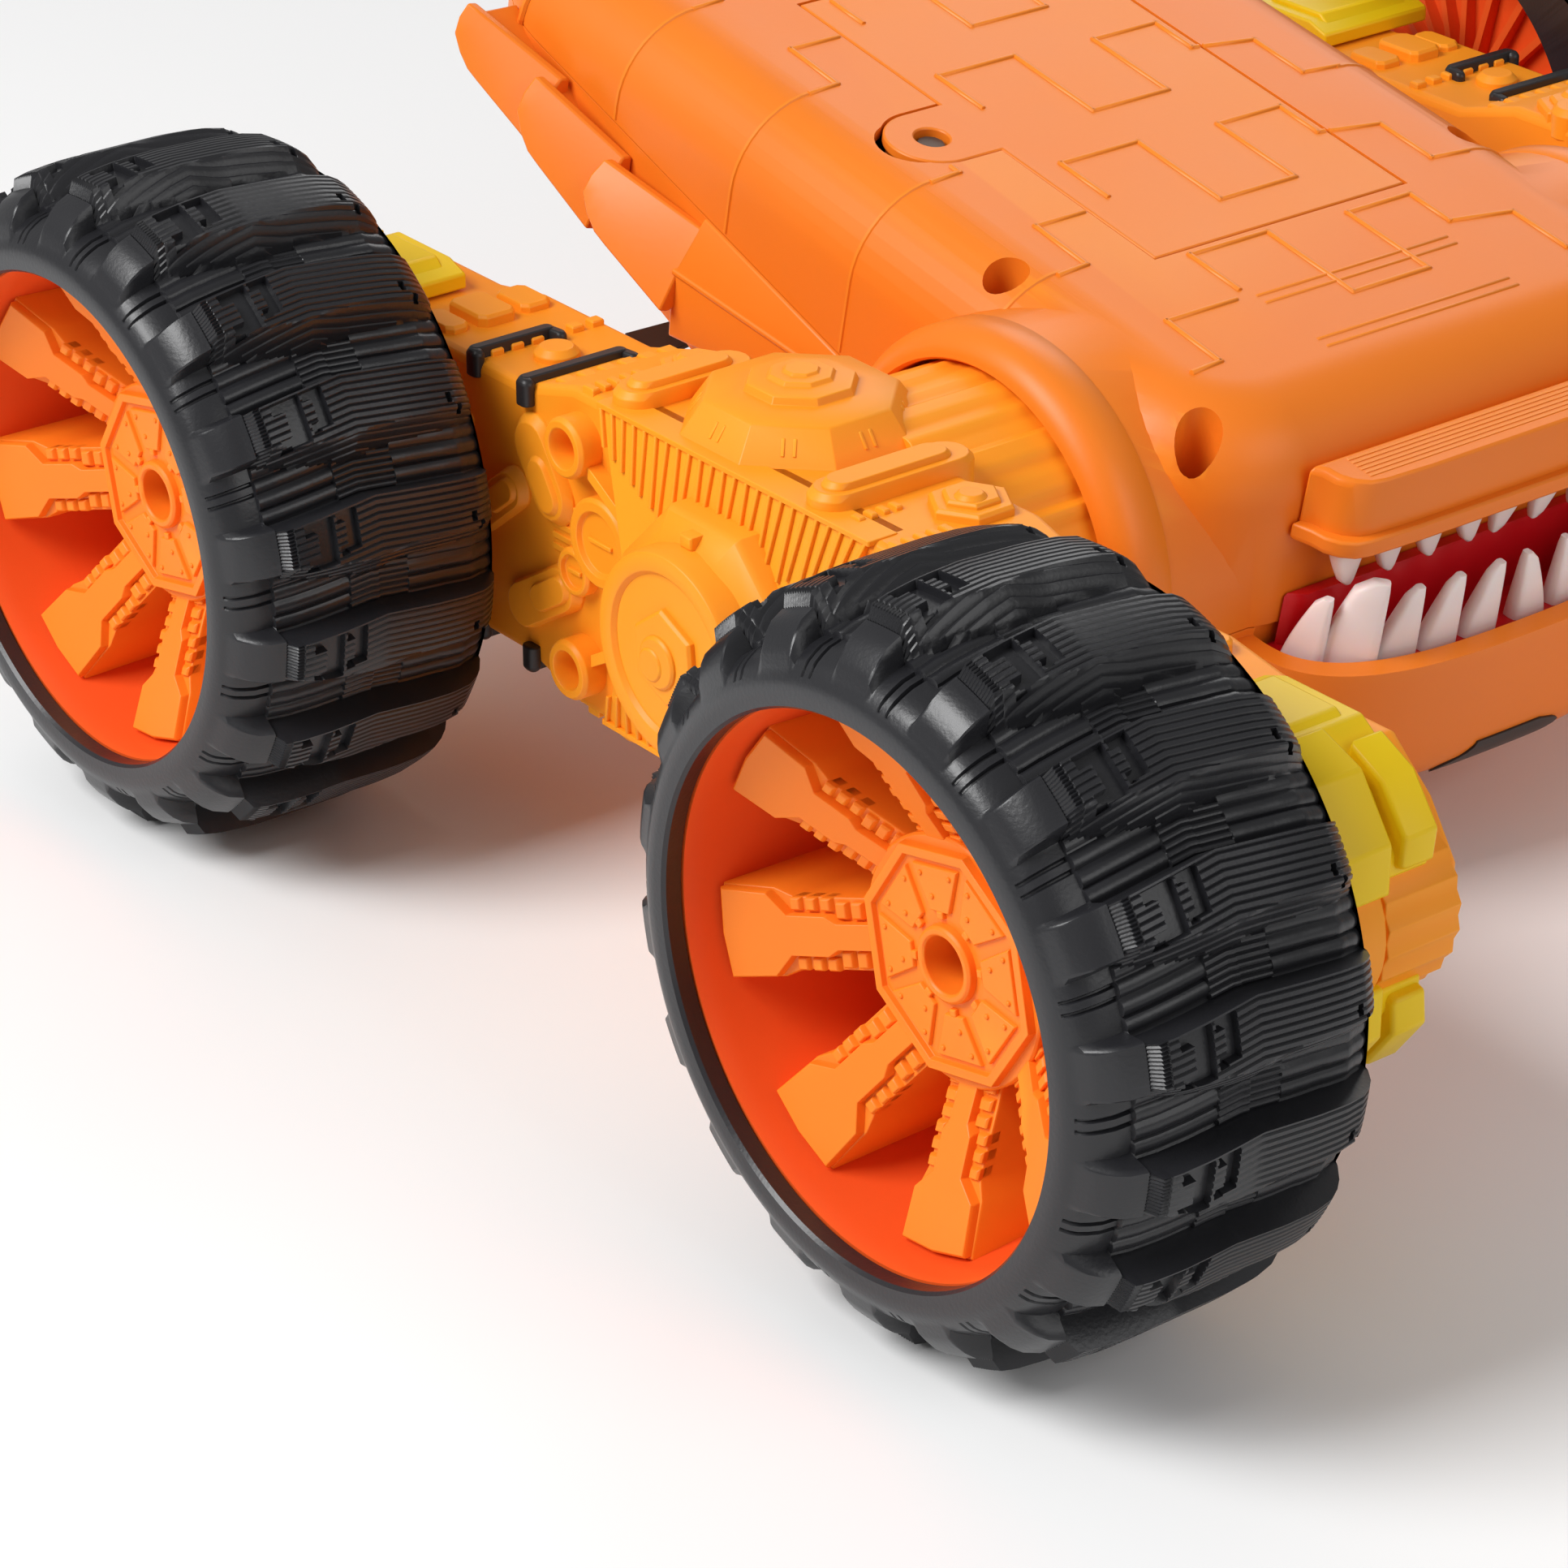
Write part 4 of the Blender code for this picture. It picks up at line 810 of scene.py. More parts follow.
# ---------------------------------------------------------------- door
def build_door():
    """Door panel with the tab's stepped screw well and two tongues on its hinge side."""
    door = Shape().slab(door_outline(0.0), BELLY - 0.0020, BELLY, BODY_FRAME)
    thing = solid(door, "door_panel")
    tab = solid(Shape().slab(ring_points(TAB[2] - 0.001, 32, TAB[:2]), 0.0357, BELLY - 0.001,
                             BODY_FRAME), "tab")
    tongues = Shape()
    for y in (0.035, 0.095):
        tongues.slab(rect(DOOR["wide"] - 0.004, y - 0.005, DOOR["wide"] + 0.0026, y + 0.005),
                     0.0362, 0.0379, BODY_FRAME)
        tongues.slab(rect(DOOR["wide"] - 0.0034, y - 0.004, DOOR["wide"] - 0.001, y + 0.004),
                     0.0370, BELLY - 0.001, BODY_FRAME)
    carve(thing, [tab], "UNION")
    carve(thing, [solid(tongues, "tongues")], "UNION")
    carve(thing, [solid(Shape().slab(ring_points(r, 28, TAB[:2]), low, 0.05, BODY_FRAME), "well")
                  for r, low in ((0.00335, 0.0374), (0.0017, 0.030))])
    resharpen(thing)
    settle(thing, "battery_door", "body_orange", 0.00035)
    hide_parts("battery_door")


# ---------------------------------------------------------------- back shell, snout and mane
SNOUT = {"wide": 0.050, "front": -0.0638, "root": BODY_FRONT + 0.0012, "rim": -0.0016,
         "bottom": BACK + 0.002, "round": 0.011, "wall": 0.0040}


def snout_point(degrees, inset):
    """Point of the snout's squarish round front at an angle."""
    squareness = 0.72
    deep = SNOUT["root"] - SNOUT["front"] - inset
    c, s = math.cos(math.radians(degrees)), math.sin(math.radians(degrees))
    return ((SNOUT["wide"] - inset) * math.copysign(abs(c) ** squareness, c),
            SNOUT["root"] + deep * math.copysign(abs(s) ** squareness, s))


def snout_outline(inset, steps=48):
    wide, back = SNOUT["wide"] - inset, SNOUT["root"] + 0.004 - inset
    return [(wide, back), (-wide, back)] + [snout_point(180 + 180 * i / steps, inset)
                                            for i in range(steps + 1)]


def snout_level(share, lift=0.0):
    """(height, inset) down the snout: share 0 at the rim, 1 where it turns under."""
    drop = SNOUT["rim"] - (SNOUT["bottom"] + SNOUT["round"])
    if share < 0.5:
        return SNOUT["rim"] - drop * share * 2, -lift
    angle = math.radians(90 * (share - 0.5) * 2)
    radius = SNOUT["round"] + lift
    return (SNOUT["bottom"] + SNOUT["round"] - radius * math.sin(angle),
            SNOUT["round"] - radius * math.cos(angle))


FLANK = ((0.0580, -0.0360), (0.0900, -0.0140), (0.1900, 0.0140))  # y, height of the turn
FLANK_REACH = 0.048


def flank(name, side, inset):
    """Wedge that takes a lower corner off the body, under the mane."""
    rings = []
    for y, height in FLANK:
        top = height + inset * math.sqrt(2)
        rings.append([(side * x, y, z) for x, z in (
            (HALF_BODY + 0.010, top + 0.010), (HALF_BODY - FLANK_REACH, top - FLANK_REACH),
            (HALF_BODY + 0.010, top - FLANK_REACH))])
    return solid(Shape().loft(rings, BODY_FRAME), name)


def flanked_block(name, inset):
    """Body block without its lower rear corners."""
    return carve(body_block(name, inset), [flank("wedge", side, inset) for side in (-1, 1)])


def build_back():
    """Back shell with the hollow snout."""
    shell = flanked_block("back_cover", 0.0)
    rings = []
    for i in range(13):
        z, inset = snout_level(i / 12 * 0.96)
        rings.append([(x, y, z) for x, y in snout_outline(inset)])
    carve(shell, [solid(Shape().loft(rings, BODY_FRAME), "snout")], "UNION")
    carve(shell, [flanked_block("inner", WALL)])
    carve(shell, [solid(Shape().slab(snout_outline(SNOUT["wall"]), -0.0262, 0.010, BODY_FRAME),
                        "snout_hollow")])
    with_sockets(shell)
    carve(shell, [half_space("above", False)])
    resharpen(shell)
    settle(shell, "chassis", "body_orange", 0.0003)
    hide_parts("back_shell")


MANE_PLATES = (  # front and rear station: y, (x, z) of the top edge, (x, z) of the lower edge
    ((0.0935, (0.0672, 0.0134), (0.0752, -0.0020)),
     (0.1190, (0.0716, 0.0164), (0.0782, 0.0078))),
    ((0.1175, (0.0682, 0.0166), (0.0754, 0.0030)),
     (0.1395, (0.0738, 0.0242), (0.0792, 0.0146))),
    ((0.1380, (0.0686, 0.0230), (0.0762, 0.0120)),
     (0.1590, (0.0764, 0.0308), (0.0802, 0.0222))),
)
MANE_THICK, MANE_ROOT = 0.0020, 0.0646
MANE_LEDGE = ((0.0450, 0.0664, 0.0056, 0.0006), (0.0570, 0.0672, 0.0034, -0.0040),
              (0.0945, 0.0724, 0.0054, -0.0086))   # y, outward, height of the edge, lower edge


def mane_plate(shape, side, ends, steps=8):
    """Shingle that starts at the body and flares away, with a rounded lower rear corner."""
    (y0, top0, low0), (y1, top1, low1) = ends
    rings = []
    for i in range(steps + 1):
        share = i / steps
        mix = [tuple(a + (b - a) * share for a, b in zip(p, q))
               for p, q in ((top0, top1), (low0, low1))]
        (tx, tz), (lx, lz) = mix
        lift = 0.32 * max(0.0, share - 0.70) ** 2 / 0.09
        lx, lz = lx + (tx - lx) * lift, lz + (tz - lz) * lift
        root, bulge = (tz + lz) / 2, 0.0005
        points = [(tx, tz), ((tx + lx) / 2 + bulge, (tz + lz) / 2 + bulge), (lx, lz),
                  (lx - MANE_THICK, lz - 0.0006), (MANE_ROOT, root - 0.0050),
                  (MANE_ROOT, root), (tx - MANE_THICK, root + 0.0004),
                  (tx - MANE_THICK, tz - 0.0004)]
        rings.append([(side * x, y0 + (y1 - y0) * share, z) for x, z in points])
    shape.loft(rings, BODY_FRAME)


def mane_ledge(shape, side):
    """Sloping shelf with a thin lip in front of the plates, fading into the body."""
    rings, lip = [], []
    for y, outward, edge, low in MANE_LEDGE:
        top = y * PARTING - 0.0003
        rings.append([(side * x, y, z) for x, z in (
            (MANE_ROOT, top), (HALF_BODY + 0.0003, top), (outward, edge),
            (outward - 0.0008, low), (MANE_ROOT, low - 0.0030))])
        lip.append([(side * x, y, z) for x, z in (
            (outward - 0.0010, edge + 0.0008), (outward + 0.0003, edge + 0.0007),
            (outward + 0.0004, edge - 0.0004), (outward - 0.0008, edge - 0.0006))])
    shape.loft(rings, BODY_FRAME)
    shape.loft(lip, BODY_FRAME)


def build_mane():
    plates = Shape()
    for side in (-1, 1):
        mane_ledge(plates, side)
        for ends in MANE_PLATES:
            mane_plate(plates, side, ends)
    plates.piece("mane_plates", "chassis", "body_orange", 0.0004)


def conform_stripe(shape, middle, spread, top, bottom, lift=0.0004, steps=12):
    """Tapered stripe lying on the snout, from one level down to another."""
    rings = []
    for i in range(steps + 1):
        share = top + (bottom - top) * i / steps
        width = spread * math.sin(math.pi * (0.10 + 0.86 * i / steps)) ** 0.7
        ring = []
        for k in range(7):
            z, inset = snout_level(share, lift)
            x, y = snout_point(middle + width * (k - 3) / 3 + 2.0 * math.sin(i * 0.9), inset)
            ring.append((x, y, z))
        for k in range(6, -1, -1):
            z, inset = snout_level(share, -0.0004)
            x, y = snout_point(middle + width * (k - 3) / 3 + 2.0 * math.sin(i * 0.9), inset)
            ring.append((x, y, z))
        rings.append(ring)
    shape.loft(rings, BODY_FRAME)


def build_stripes_on_snout():
    """Black stripes down the snout and across the back."""
    stripes = Shape()
    for middle, spread, top, bottom in ((212, 6, 0.18, 0.52), (328, 6, 0.18, 0.52),
                                        (230, 13, 0.50, 0.98), (310, 13, 0.50, 0.98),
                                        (270, 10, 0.55, 0.98), (196, 8, 0.55, 0.98),
                                        (344, 8, 0.55, 0.98)):
        conform_stripe(stripes, middle, spread, top, bottom)
    for side in (-1, 1):
        for y, length in ((0.045, 0.040), (0.070, 0.050), (0.095, 0.042), (0.125, 0.034)):
            points = [(side * 0.052, y - 0.0045), (side * (0.052 - length), y + 0.0005),
                      (side * (0.052 - length * 0.5), y + 0.0050), (side * 0.052, y + 0.0055)]
            stripes.slab(points, BACK + 0.0006, BACK - 0.0005, BODY_FRAME, chamfer=0.0002)
    stripes.piece("head_stripes", "chassis", "stripe_black", 0.0001)


# ---------------------------------------------------------------- jaws and teeth
def jaw_outline(grow):
    """Jaw bar with rounded front corners."""
    root, wide, front, cut = BODY_FRONT - 0.0003, 0.042 + grow, -0.0512 - grow, 0.0075
    points = [(-wide, root), (-wide + 0.0015, front + cut)]
    points += [(-wide + cut * (1 - math.cos(a)) + 0.0015, front + cut * (1 - math.sin(a)))
               for a in (math.radians(22 * i) for i in range(1, 5))]
    points.append((-wide + 0.020, front - 0.0004))
    return points + [(-x, y) for x, y in reversed(points)]


def build_jaw():
    """Jaw bar, its lip and the fine grip lines on top."""
    jaw = Shape()
    jaw.slab(jaw_outline(0.0), 0.0206, 0.0325, BODY_FRAME, chamfer=0.0010)
    jaw.slab(jaw_outline(0.0016), 0.0216, 0.0180, BODY_FRAME, chamfer=0.0008)
    thing = jaw.piece("jaw_bar", "chassis", "body_orange", 0.0005)
    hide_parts("lower_jaw")
    grip = Shape()
    for row in range(6):
        y = BODY_FRONT - 0.0018 - 0.0011 * row
        grip.slab(rect(-0.0345, y - 0.0003, 0.0345, y + 0.0003), 0.0324, 0.03262, BODY_FRAME,
                  chamfer=0.00008)
    grip.piece("jaw_grip", "chassis", "body_orange")


def tooth(shape, x, y, root, tip, width, depth, inward=0.0, tip_share=0.26, turn=0.0):
    """Blade-like tooth: straight inner edge, slanted outer edge, soft blunt tip."""
    rings, levels, around = [], 9, 16
    spin = Matrix.Rotation(turn, 2)
    for i in range(levels + 1):
        share = i / levels
        scale = 1 - (1 - tip_share) * share ** 1.35
        scale *= 1.0 if i < levels else 0.62
        drift = inward * (width / 2) * (1 - scale) * 0.85
        ring = []
        for k in range(around):
            angle = 2 * math.pi * k / around
            c, s = math.cos(angle), math.sin(angle)
            p = spin @ Vector((width / 2 * scale * math.copysign(abs(c) ** 0.55, c) + drift,
                               depth / 2 * (0.25 + 0.75 * scale)
                               * math.copysign(abs(s) ** 0.55, s)))
            ring.append((x + p.x, y + p.y, root + (tip - root) * share))
        rings.append(ring)
    shape.loft(rings, BODY_FRAME)


def build_teeth():
    """Four small teeth a side on the jaw bar, five big ones a side with a corner fang."""
    low = Shape()
    for i in range(4):
        for side in (-1, 1):
            tooth(low, side * (0.0050 + 0.0098 * i), -0.0472, 0.0183, 0.0090, 0.0076, 0.0038,
                  inward=-side * 0.7, tip_share=0.30)
    low.slab([(-0.038, -0.0432), (-0.034, -0.0490), (0.034, -0.0490), (0.038, -0.0432)],
             0.0166, 0.0179, BODY_FRAME, chamfer=0.0003)
    thing = low.piece("small_teeth", "chassis", "tooth_white", sharp=60)
    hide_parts("lower_teeth")
    high = Shape()
    rows = ((4, 0.0096, 0.0082, 0.0044, 0.30), (15, 0.0098, 0.0084, 0.0044, 0.30),
            (29, 0.0096, 0.0086, 0.0044, 0.30), (48, 0.0130, 0.0110, 0.0052, 0.50),
            (70, 0.0092, 0.0078, 0.0044, 0.34))
    for side in (-1, 1):
        for turn, tip, width, depth, tip_share in rows:
            x, y = snout_point(270 + side * turn, SNOUT["wall"] + 0.0040)
            spin = math.radians(side * turn * (0.9 if turn > 40 else 0.35))
            tooth(high, x, y, -0.0050, tip, width, depth, inward=-side, tip_share=tip_share,
                  turn=spin)
    thing = high.piece("big_teeth", "chassis", "tooth_white", sharp=60)
    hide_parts("upper_teeth")


def build_gum():
    """Red trough behind the big teeth, and the red back of the mouth."""
    gum = Shape()
    inset = SNOUT["wall"] + 0.0004
    outline = [(x, min(y, BODY_FRONT - 0.0004)) for x, y in snout_outline(inset)]
    inner = [(x * 0.80, BODY_FRONT - 0.0006 + (y - BODY_FRONT) * 0.45) for x, y in outline]
    rings = [[(x, y, -0.0140) for x, y in outline], [(x, y, -0.0052) for x, y in outline],
             [(x * 0.985, y * 0.995, -0.0038) for x, y in outline],
             [(x * 1.04, y, -0.0046) for x, y in inner], [(x, y, -0.0085) for x, y in inner]]
    gum.loft(rings, BODY_FRAME)
    back = [(-0.0415, BODY_FRONT - 0.0004), (-0.0385, BODY_FRONT - 0.0024),
            (0.0385, BODY_FRONT - 0.0024), (0.0415, BODY_FRONT - 0.0004)]
    gum.slab(back, -0.0100, 0.0062, BODY_FRAME, chamfer=0.0006)
    thing = gum.piece("mouth_gum", "chassis", "gum_red", sharp=60)
    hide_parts("upper_gum")


# ---------------------------------------------------------------- collars and arms
def build_collars():
    """Round collar on each side where the arm's neck enters the body."""
    for name, side in SIDES.items():
        out = COLLAR_OUT
        shape = Shape().lathe([(0.0656, 0.0130), (0.0656, 0.0400), (0.0662, 0.0406),
                               (out - 0.0050, 0.0406), (out - 0.0034, 0.0402),
                               (out - 0.0016, 0.0391), (out - 0.0004, 0.0376), (out, 0.0364),
                               (out, 0.0355), (out - 0.0006, 0.0350), (0.0685, 0.0350),
                               (0.0685, 0.0130)], 96, across(side))
        thing = shape.piece(f"{name}_collar_ring", "chassis", "body_orange", sharp=50)
        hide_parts(f"{name}_collar")


ARM_TOP, ARM_FLAT = 0.0305, 0.0262       # heights of the crown and of the long ends
WALL_FACE, WALL_FOOT = 0.1292, 0.1345    # outward place of the ribbed wall's top and foot
WALL_HALF, WALL_LOW = 0.0365, 0.0060
DOME_Y, DOME_X, DISC_TOP = 0.0085, 0.1078, 0.1440


def arm_outline(inset):
    """Side outline of the arm casing, the same at both ends, above and below."""
    top, paw, reach = ARM_FLAT - inset, 0.0238 - inset, 0.1432 - inset
    quarter = [(0.0, ARM_TOP - inset), (0.0450, ARM_TOP - inset), (0.0600, top), (0.092, top),
               (0.106, paw), (0.128, paw), (reach - 0.006, paw - 0.0075), (reach, paw - 0.0165)]
    right = mirrored(quarter)
    return right + [(-y, z) for y, z in reversed(right[1:-1])]


def arm_hull(side):
    """Main casing with softened long edges."""
    levels = ((0.0012, ARM_IN), (0, ARM_IN + 0.0012), (0, WALL_FACE - 0.0010),
              (0.0012, WALL_FACE))
    return Shape().loft([[(x, y, z) for x, y in arm_outline(inset)] for inset, z in levels],
                        across(side))


def add_neck(shape, side):
    """Round neck with shallow flat bands of uneven width along it."""
    bands, steps = 30, 6
    start, end, radius = ARM_IN + 0.001, 0.0690, 0.0345
    rings = []
    for x, drop in ((start, 0.0), (end + 0.0010, 0.0), (end, 0.0008)):
        ring = []
        for i in range(bands * steps):
            band, step = divmod(i, steps)
            raised = step < (4 if band % 3 else 2)
            r = radius - drop - (0.0 if raised else 0.0006) - 0.0003 * (band % 2)
            angle = 2 * math.pi * (i + 0.5) / (bands * steps)
            ring.append((r * math.cos(angle), r * math.sin(angle), x))
        rings.append(ring)
    shape.loft(rings, across(side))
    shape.lathe([(end + 0.001, 0.0120), (0.0575, 0.0120), (0.0575, 0.0090),
                 (end + 0.001, 0.0090)], 40, across(side))


def wall_depth(z):
    """Outward place of the ribbed wall at a height above the axle."""
    return WALL_FACE + (WALL_FOOT - WALL_FACE) * (ARM_TOP - z) / (ARM_TOP - WALL_LOW)


def add_zipper(shape, side, up):
    """Leaning wall with raised upright ribs on the outboard face of the arm."""
    place = across(side)
    top, low, foot = ARM_TOP, WALL_LOW, 0.024
    rings = [[(-WALL_HALF, up * top, x), (WALL_HALF, up * top, x),
              (foot, up * low, x + lean), (-foot, up * low, x + lean)]
             for x, lean in ((0.122, 0.0), (WALL_FACE, WALL_FOOT - WALL_FACE))]
    shape.loft(rings, place)
    shape.slab(rect(-WALL_HALF - 0.0006, up * (top - 0.0007), WALL_HALF + 0.0006,
                    up * (top + 0.0003)), 0.124, WALL_FACE + 0.0009, place, chamfer=0.0003)
    count = 24
    for i in range(count):
        share = 2 * i / (count - 1) - 1
        y = share * (WALL_HALF - 0.0006)
        reach = abs(y) / WALL_HALF
        end = low + 0.0075 + 0.0105 * reach ** 1.5
        tilt = (0.0007 if i % 2 else -0.0007) * (1 - reach)
        add_wall_rib(shape, place, y, y * 0.93 + tilt, up, end)


def add_wall_rib(shape, place, y_top, y_low, up, end):
    """One upright rib from the crown down to its square foot."""
    half, proud = 0.00042, 0.0008
    rings = []
    for lift, narrow in ((-0.001, 1.0), (proud * 0.7, 1.0), (proud, 0.6)):
        ring = []
        for y, z in ((y_top, ARM_TOP - 0.0006), (y_low, end)):
            for sign in ((-1, 1) if z > end else (1, -1)):
                ring.append((y + sign * half * narrow, up * z, wall_depth(z) + lift))
        rings.append(ring)
    shape.loft(rings, place)


def add_disc(shape, side):
    """Round motor cap on a chamfered octagon, standing out of the middle of the arm."""
    place = across(side)
    top = DISC_TOP
    frame_ring = ring_points(0.0246, 8, phase=math.radians(22.5))
    levels = ((0.126, 1.0), (0.1345, 1.0), (0.1358, 0.97), (0.1388, 0.80), (0.1392, 0.70))
    shape.loft([[(x * k, y * k, z) for x, y in frame_ring] for z, k in levels], place)
    for turn in (0, 2, 5, 7):
        tab = place @ Matrix.Rotation(math.radians(45 * turn), 4, "Z")
        shape.slab(rect(0.0188, -0.0016, 0.0212, 0.0016), 0.134, 0.1392, tab, chamfer=0.0004)
    shape.lathe([(0.134, 0.0189), (top - 0.0014, 0.0189), (top - 0.0004, 0.0184),
                 (top, 0.0172), (top - 0.0003, 0.0152), (top - 0.0012, 0.0144),
                 (0.134, 0.0144)], 72, place)
    shape.slab(ring_points(0.0146, 48), 0.134, top - 0.0012, place)
    shape.slab(ring_points(0.0088, 6, phase=math.radians(24)), 0.138, top + 0.0002, place,
               chamfer=0.0006)
    shape.slab(ring_points(0.0048, 32, (0.0010, -0.0010)), 0.140, top + 0.0010, place,
               chamfer=0.0005)
    shape.slab(ring_points(0.0031, 32, (0.0022, -0.0016)), 0.140, top + 0.0014, place,
               chamfer=0.0004)


def add_screw_posts(shape, side):
    """Open tubes that take the cover's screws, with webs back to the casing."""
    place = across(side)
    for y in (0.0420, -0.0420):
        sign = 1 if y > 0 else -1
        for up in (-1, 1):
            spot = place @ Matrix.Translation((y, up * 0.0212, 0))
            shape.lathe([(0.120, 0.0056), (0.1332, 0.0056), (0.1340, 0.0050), (0.1340, 0.0038),
                         (0.1332, 0.0034), (0.1265, 0.0033), (0.1265, 0.0006)], 36, spot,
                        closed=False)
            shape.loft([[(-sign * 0.0050, -up * 0.0020, x), (-sign * 0.0050, -up * 0.0044, x),
                         (-sign * 0.0165, -up * 0.0112, x), (-sign * 0.0165, -up * 0.0086, x)]
                        for x in (0.120, 0.1322)], spot)


def add_side_gears(shape, side):
    """Small round bosses, pistons and pads that dress the outboard face."""
    place = across(side)
    for sign in (-1, 1):
        for y, z, radius, top in ((0.0340, 0.0055, 0.0084, 0.1326), (0.0425, -0.0030, 0.0046,
                                                                   0.1320)):
            spot = place @ Matrix.Translation((sign * y, z, 0))
            shape.lathe([(0.126, radius), (top - 0.0006, radius), (top, radius - 0.0006),
                         (top, radius * 0.72), (top - 0.0010, radius * 0.66),
                         (top - 0.0010, 0.0004)], 40, spot, closed=False)
            shape.slab(rect(-radius * 0.4, -0.0004, radius * 0.4, 0.0004), 0.126, top - 0.0004,
                       spot, chamfer=0.0002)
        for y0, z0, y1, z1, r in ((0.0500, 0.0080, 0.0560, 0.0170, 0.0052),
                                  (0.0470, -0.0080, 0.0600, -0.0160, 0.0046),
                                  (0.0620, 0.0060, 0.0720, -0.0020, 0.0040)):
            shape.slab(capsule(sign * y0, z0, sign * y1, z1, r), 0.126, 0.1312, place,
                       chamfer=0.0016)
            shape.slab(capsule(sign * y0, z0, sign * (y0 + y1) / 2, (z0 + z1) / 2, r * 0.6),
                       0.126, 0.1320, place, chamfer=0.0010)
        for i in range(5):
            z = -0.0020 + 0.0022 * i
            shape.slab(rect(sign * 0.0475 - 0.0040, z, sign * 0.0475 + 0.0040, z + 0.0012),
                       0.126, 0.1296, place, chamfer=0.0003)
        for i in range(7):
            z = -0.018 + 0.0050 * i
            shape.slab(rect(sign * 0.0800 - 0.005, z, sign * 0.0800 + 0.005, z + 0.0034, 0.0006),
                       0.126, 0.1300 + 0.0006 * (i % 2), place, chamfer=0.0005)


PAW_Y, PAW_RADIUS, PAW_TEETH, CLAW_IN = 0.1300, 0.0170, 11, 0.1080
# (height above the crown, radius)
DOME_LEVELS = ((-0.0020, 0.0216), (0.0, 0.0216), (0.0005, 0.0212), (0.0058, 0.0174),
               (0.0062, 0.0168), (0.0070, 0.0102), (0.0083, 0.0096), (0.0085, 0.0088),
               (0.0088, 0.0062), (0.0095, 0.0056), (0.0096, 0.0034), (0.0101, 0.0030))


def add_dome(shape, place):
    """Eight-sided stepped dome with a pair of small nicks on each face."""
    middle = place @ Matrix.Translation((DOME_X, DOME_Y, ARM_TOP))
    eight = ring_points(1.0, 8, phase=math.radians(22.5))
    shape.loft([[(x * r, y * r, z) for x, y in eight] for z, r in DOME_LEVELS], middle)
    for turn in range(8):
        tab = middle @ Matrix.Rotation(math.radians(45 * turn), 4, "Z")
        for y in (-0.0010, 0.0010):
            shape.loft([[(r, y - w, z), (r, y + w, z), (r2, y + w, z2), (r2, y - w, z2)]
                        for r, z, r2, z2, w in ((0.0170, 0.0014, 0.0155, 0.0040, 0.0004),
                                                (0.0190, 0.0018, 0.0172, 0.0044, 0.0003))], tab)


def add_pads(shape, place, sign):
    """Hexagon pad, blocks and studs on the long part of the arm."""
    top = ARM_FLAT
    for x0, x1, y0, y1, rise in ((0.1035, 0.1100, 0.0860, 0.0960, 0.0016),
                                 (0.1120, 0.1200, 0.0850, 0.0965, 0.0022),
                                 (0.1215, 0.1265, 0.0860, 0.0960, 0.0014)):
        shape.slab(rect(x0, min(sign * y0, sign * y1), x1, max(sign * y0, sign * y1), 0.0012),
                   top - 0.002, top + rise, place, chamfer=0.0006)
    crown, y = ARM_TOP, sign * 0.0365
    shape.slab(ring_points(0.0076, 6, (0.1080, y)), crown - 0.002, crown + 0.0018, place,
               chamfer=0.0006)
    shape.slab(ring_points(0.0052, 6, (0.1080, y)), crown, crown + 0.0028, place,
               chamfer=0.0005)
    shape.slab(ring_points(0.0028, 28, (0.1090, y + sign * 0.001)), crown, crown + 0.0036,
               place, chamfer=0.0008)
    for i in range(5):
        x = 0.1165 + 0.0026 * i
        shape.slab(rect(x, sign * 0.0415 - 0.0016, x + 0.0016, sign * 0.0415 + 0.0016),
                   crown - 0.002, crown + 0.0010, place, chamfer=0.0003)
    shape.slab(ring_points(0.0042, 28, (0.1170, sign * 0.0665)), top - 0.002, top + 0.0022,
               place, chamfer=0.0012)
    for i in range(6):
        x = 0.1015 + 0.0044 * i
        shape.slab(rect(x, sign * 0.0520 - 0.0018, x + 0.0030, sign * 0.0520 + 0.0018),
                   top - 0.002, top + 0.0026, place, chamfer=0.0004)
        shape.slab(rect(x, sign * 0.0745 - 0.0012, x + 0.0026, sign * 0.0745 + 0.0012),
                   top - 0.002, top + 0.0012, place, chamfer=0.0003)


def add_top(shape, side, up):
    """Dome, capsules, bracket and pads on the top (or bottom) of the arm."""
    place = upwards(side, up)
    add_dome(shape, place)
    for y, x0, x1 in ((0.0330, 0.1040, 0.1240), (-0.0210, 0.1000, 0.1245)):
        shape.slab(capsule(x0, y, x1, y, 0.0044), ARM_TOP - 0.003, ARM_TOP + 0.0030, place,
                   chamfer=0.0012)
        shape.slab(capsule(x0 + 0.003, y, x1 - 0.001, y, 0.0028), ARM_TOP, ARM_TOP + 0.0042,
                   place, chamfer=0.0010)
    for i in range(4):
        x = 0.1170 + 0.0026 * i
        shape.slab(rect(x, -0.0300, x + 0.0014, -0.0275), ARM_TOP - 0.002, ARM_TOP + 0.0008,
                   place, chamfer=0.0003)
    for sign in (-1, 1):
        add_pads(shape, place, sign)


def paw_outline(end, radius, bite):
    """Half round end of the arm; the bite leaves shallow notches round its edge."""
    outline = [(end * PAW_Y, -radius)]
    for i in range(2 * PAW_TEETH + 1):
        angle = math.radians(-84 + 168 * i / (2 * PAW_TEETH))
        reach = radius - (bite if i % 2 else 0.0)
        outline.append((end * (PAW_Y + reach * math.cos(angle)), reach * math.sin(angle)))
    return outline + [(end * PAW_Y, radius)]


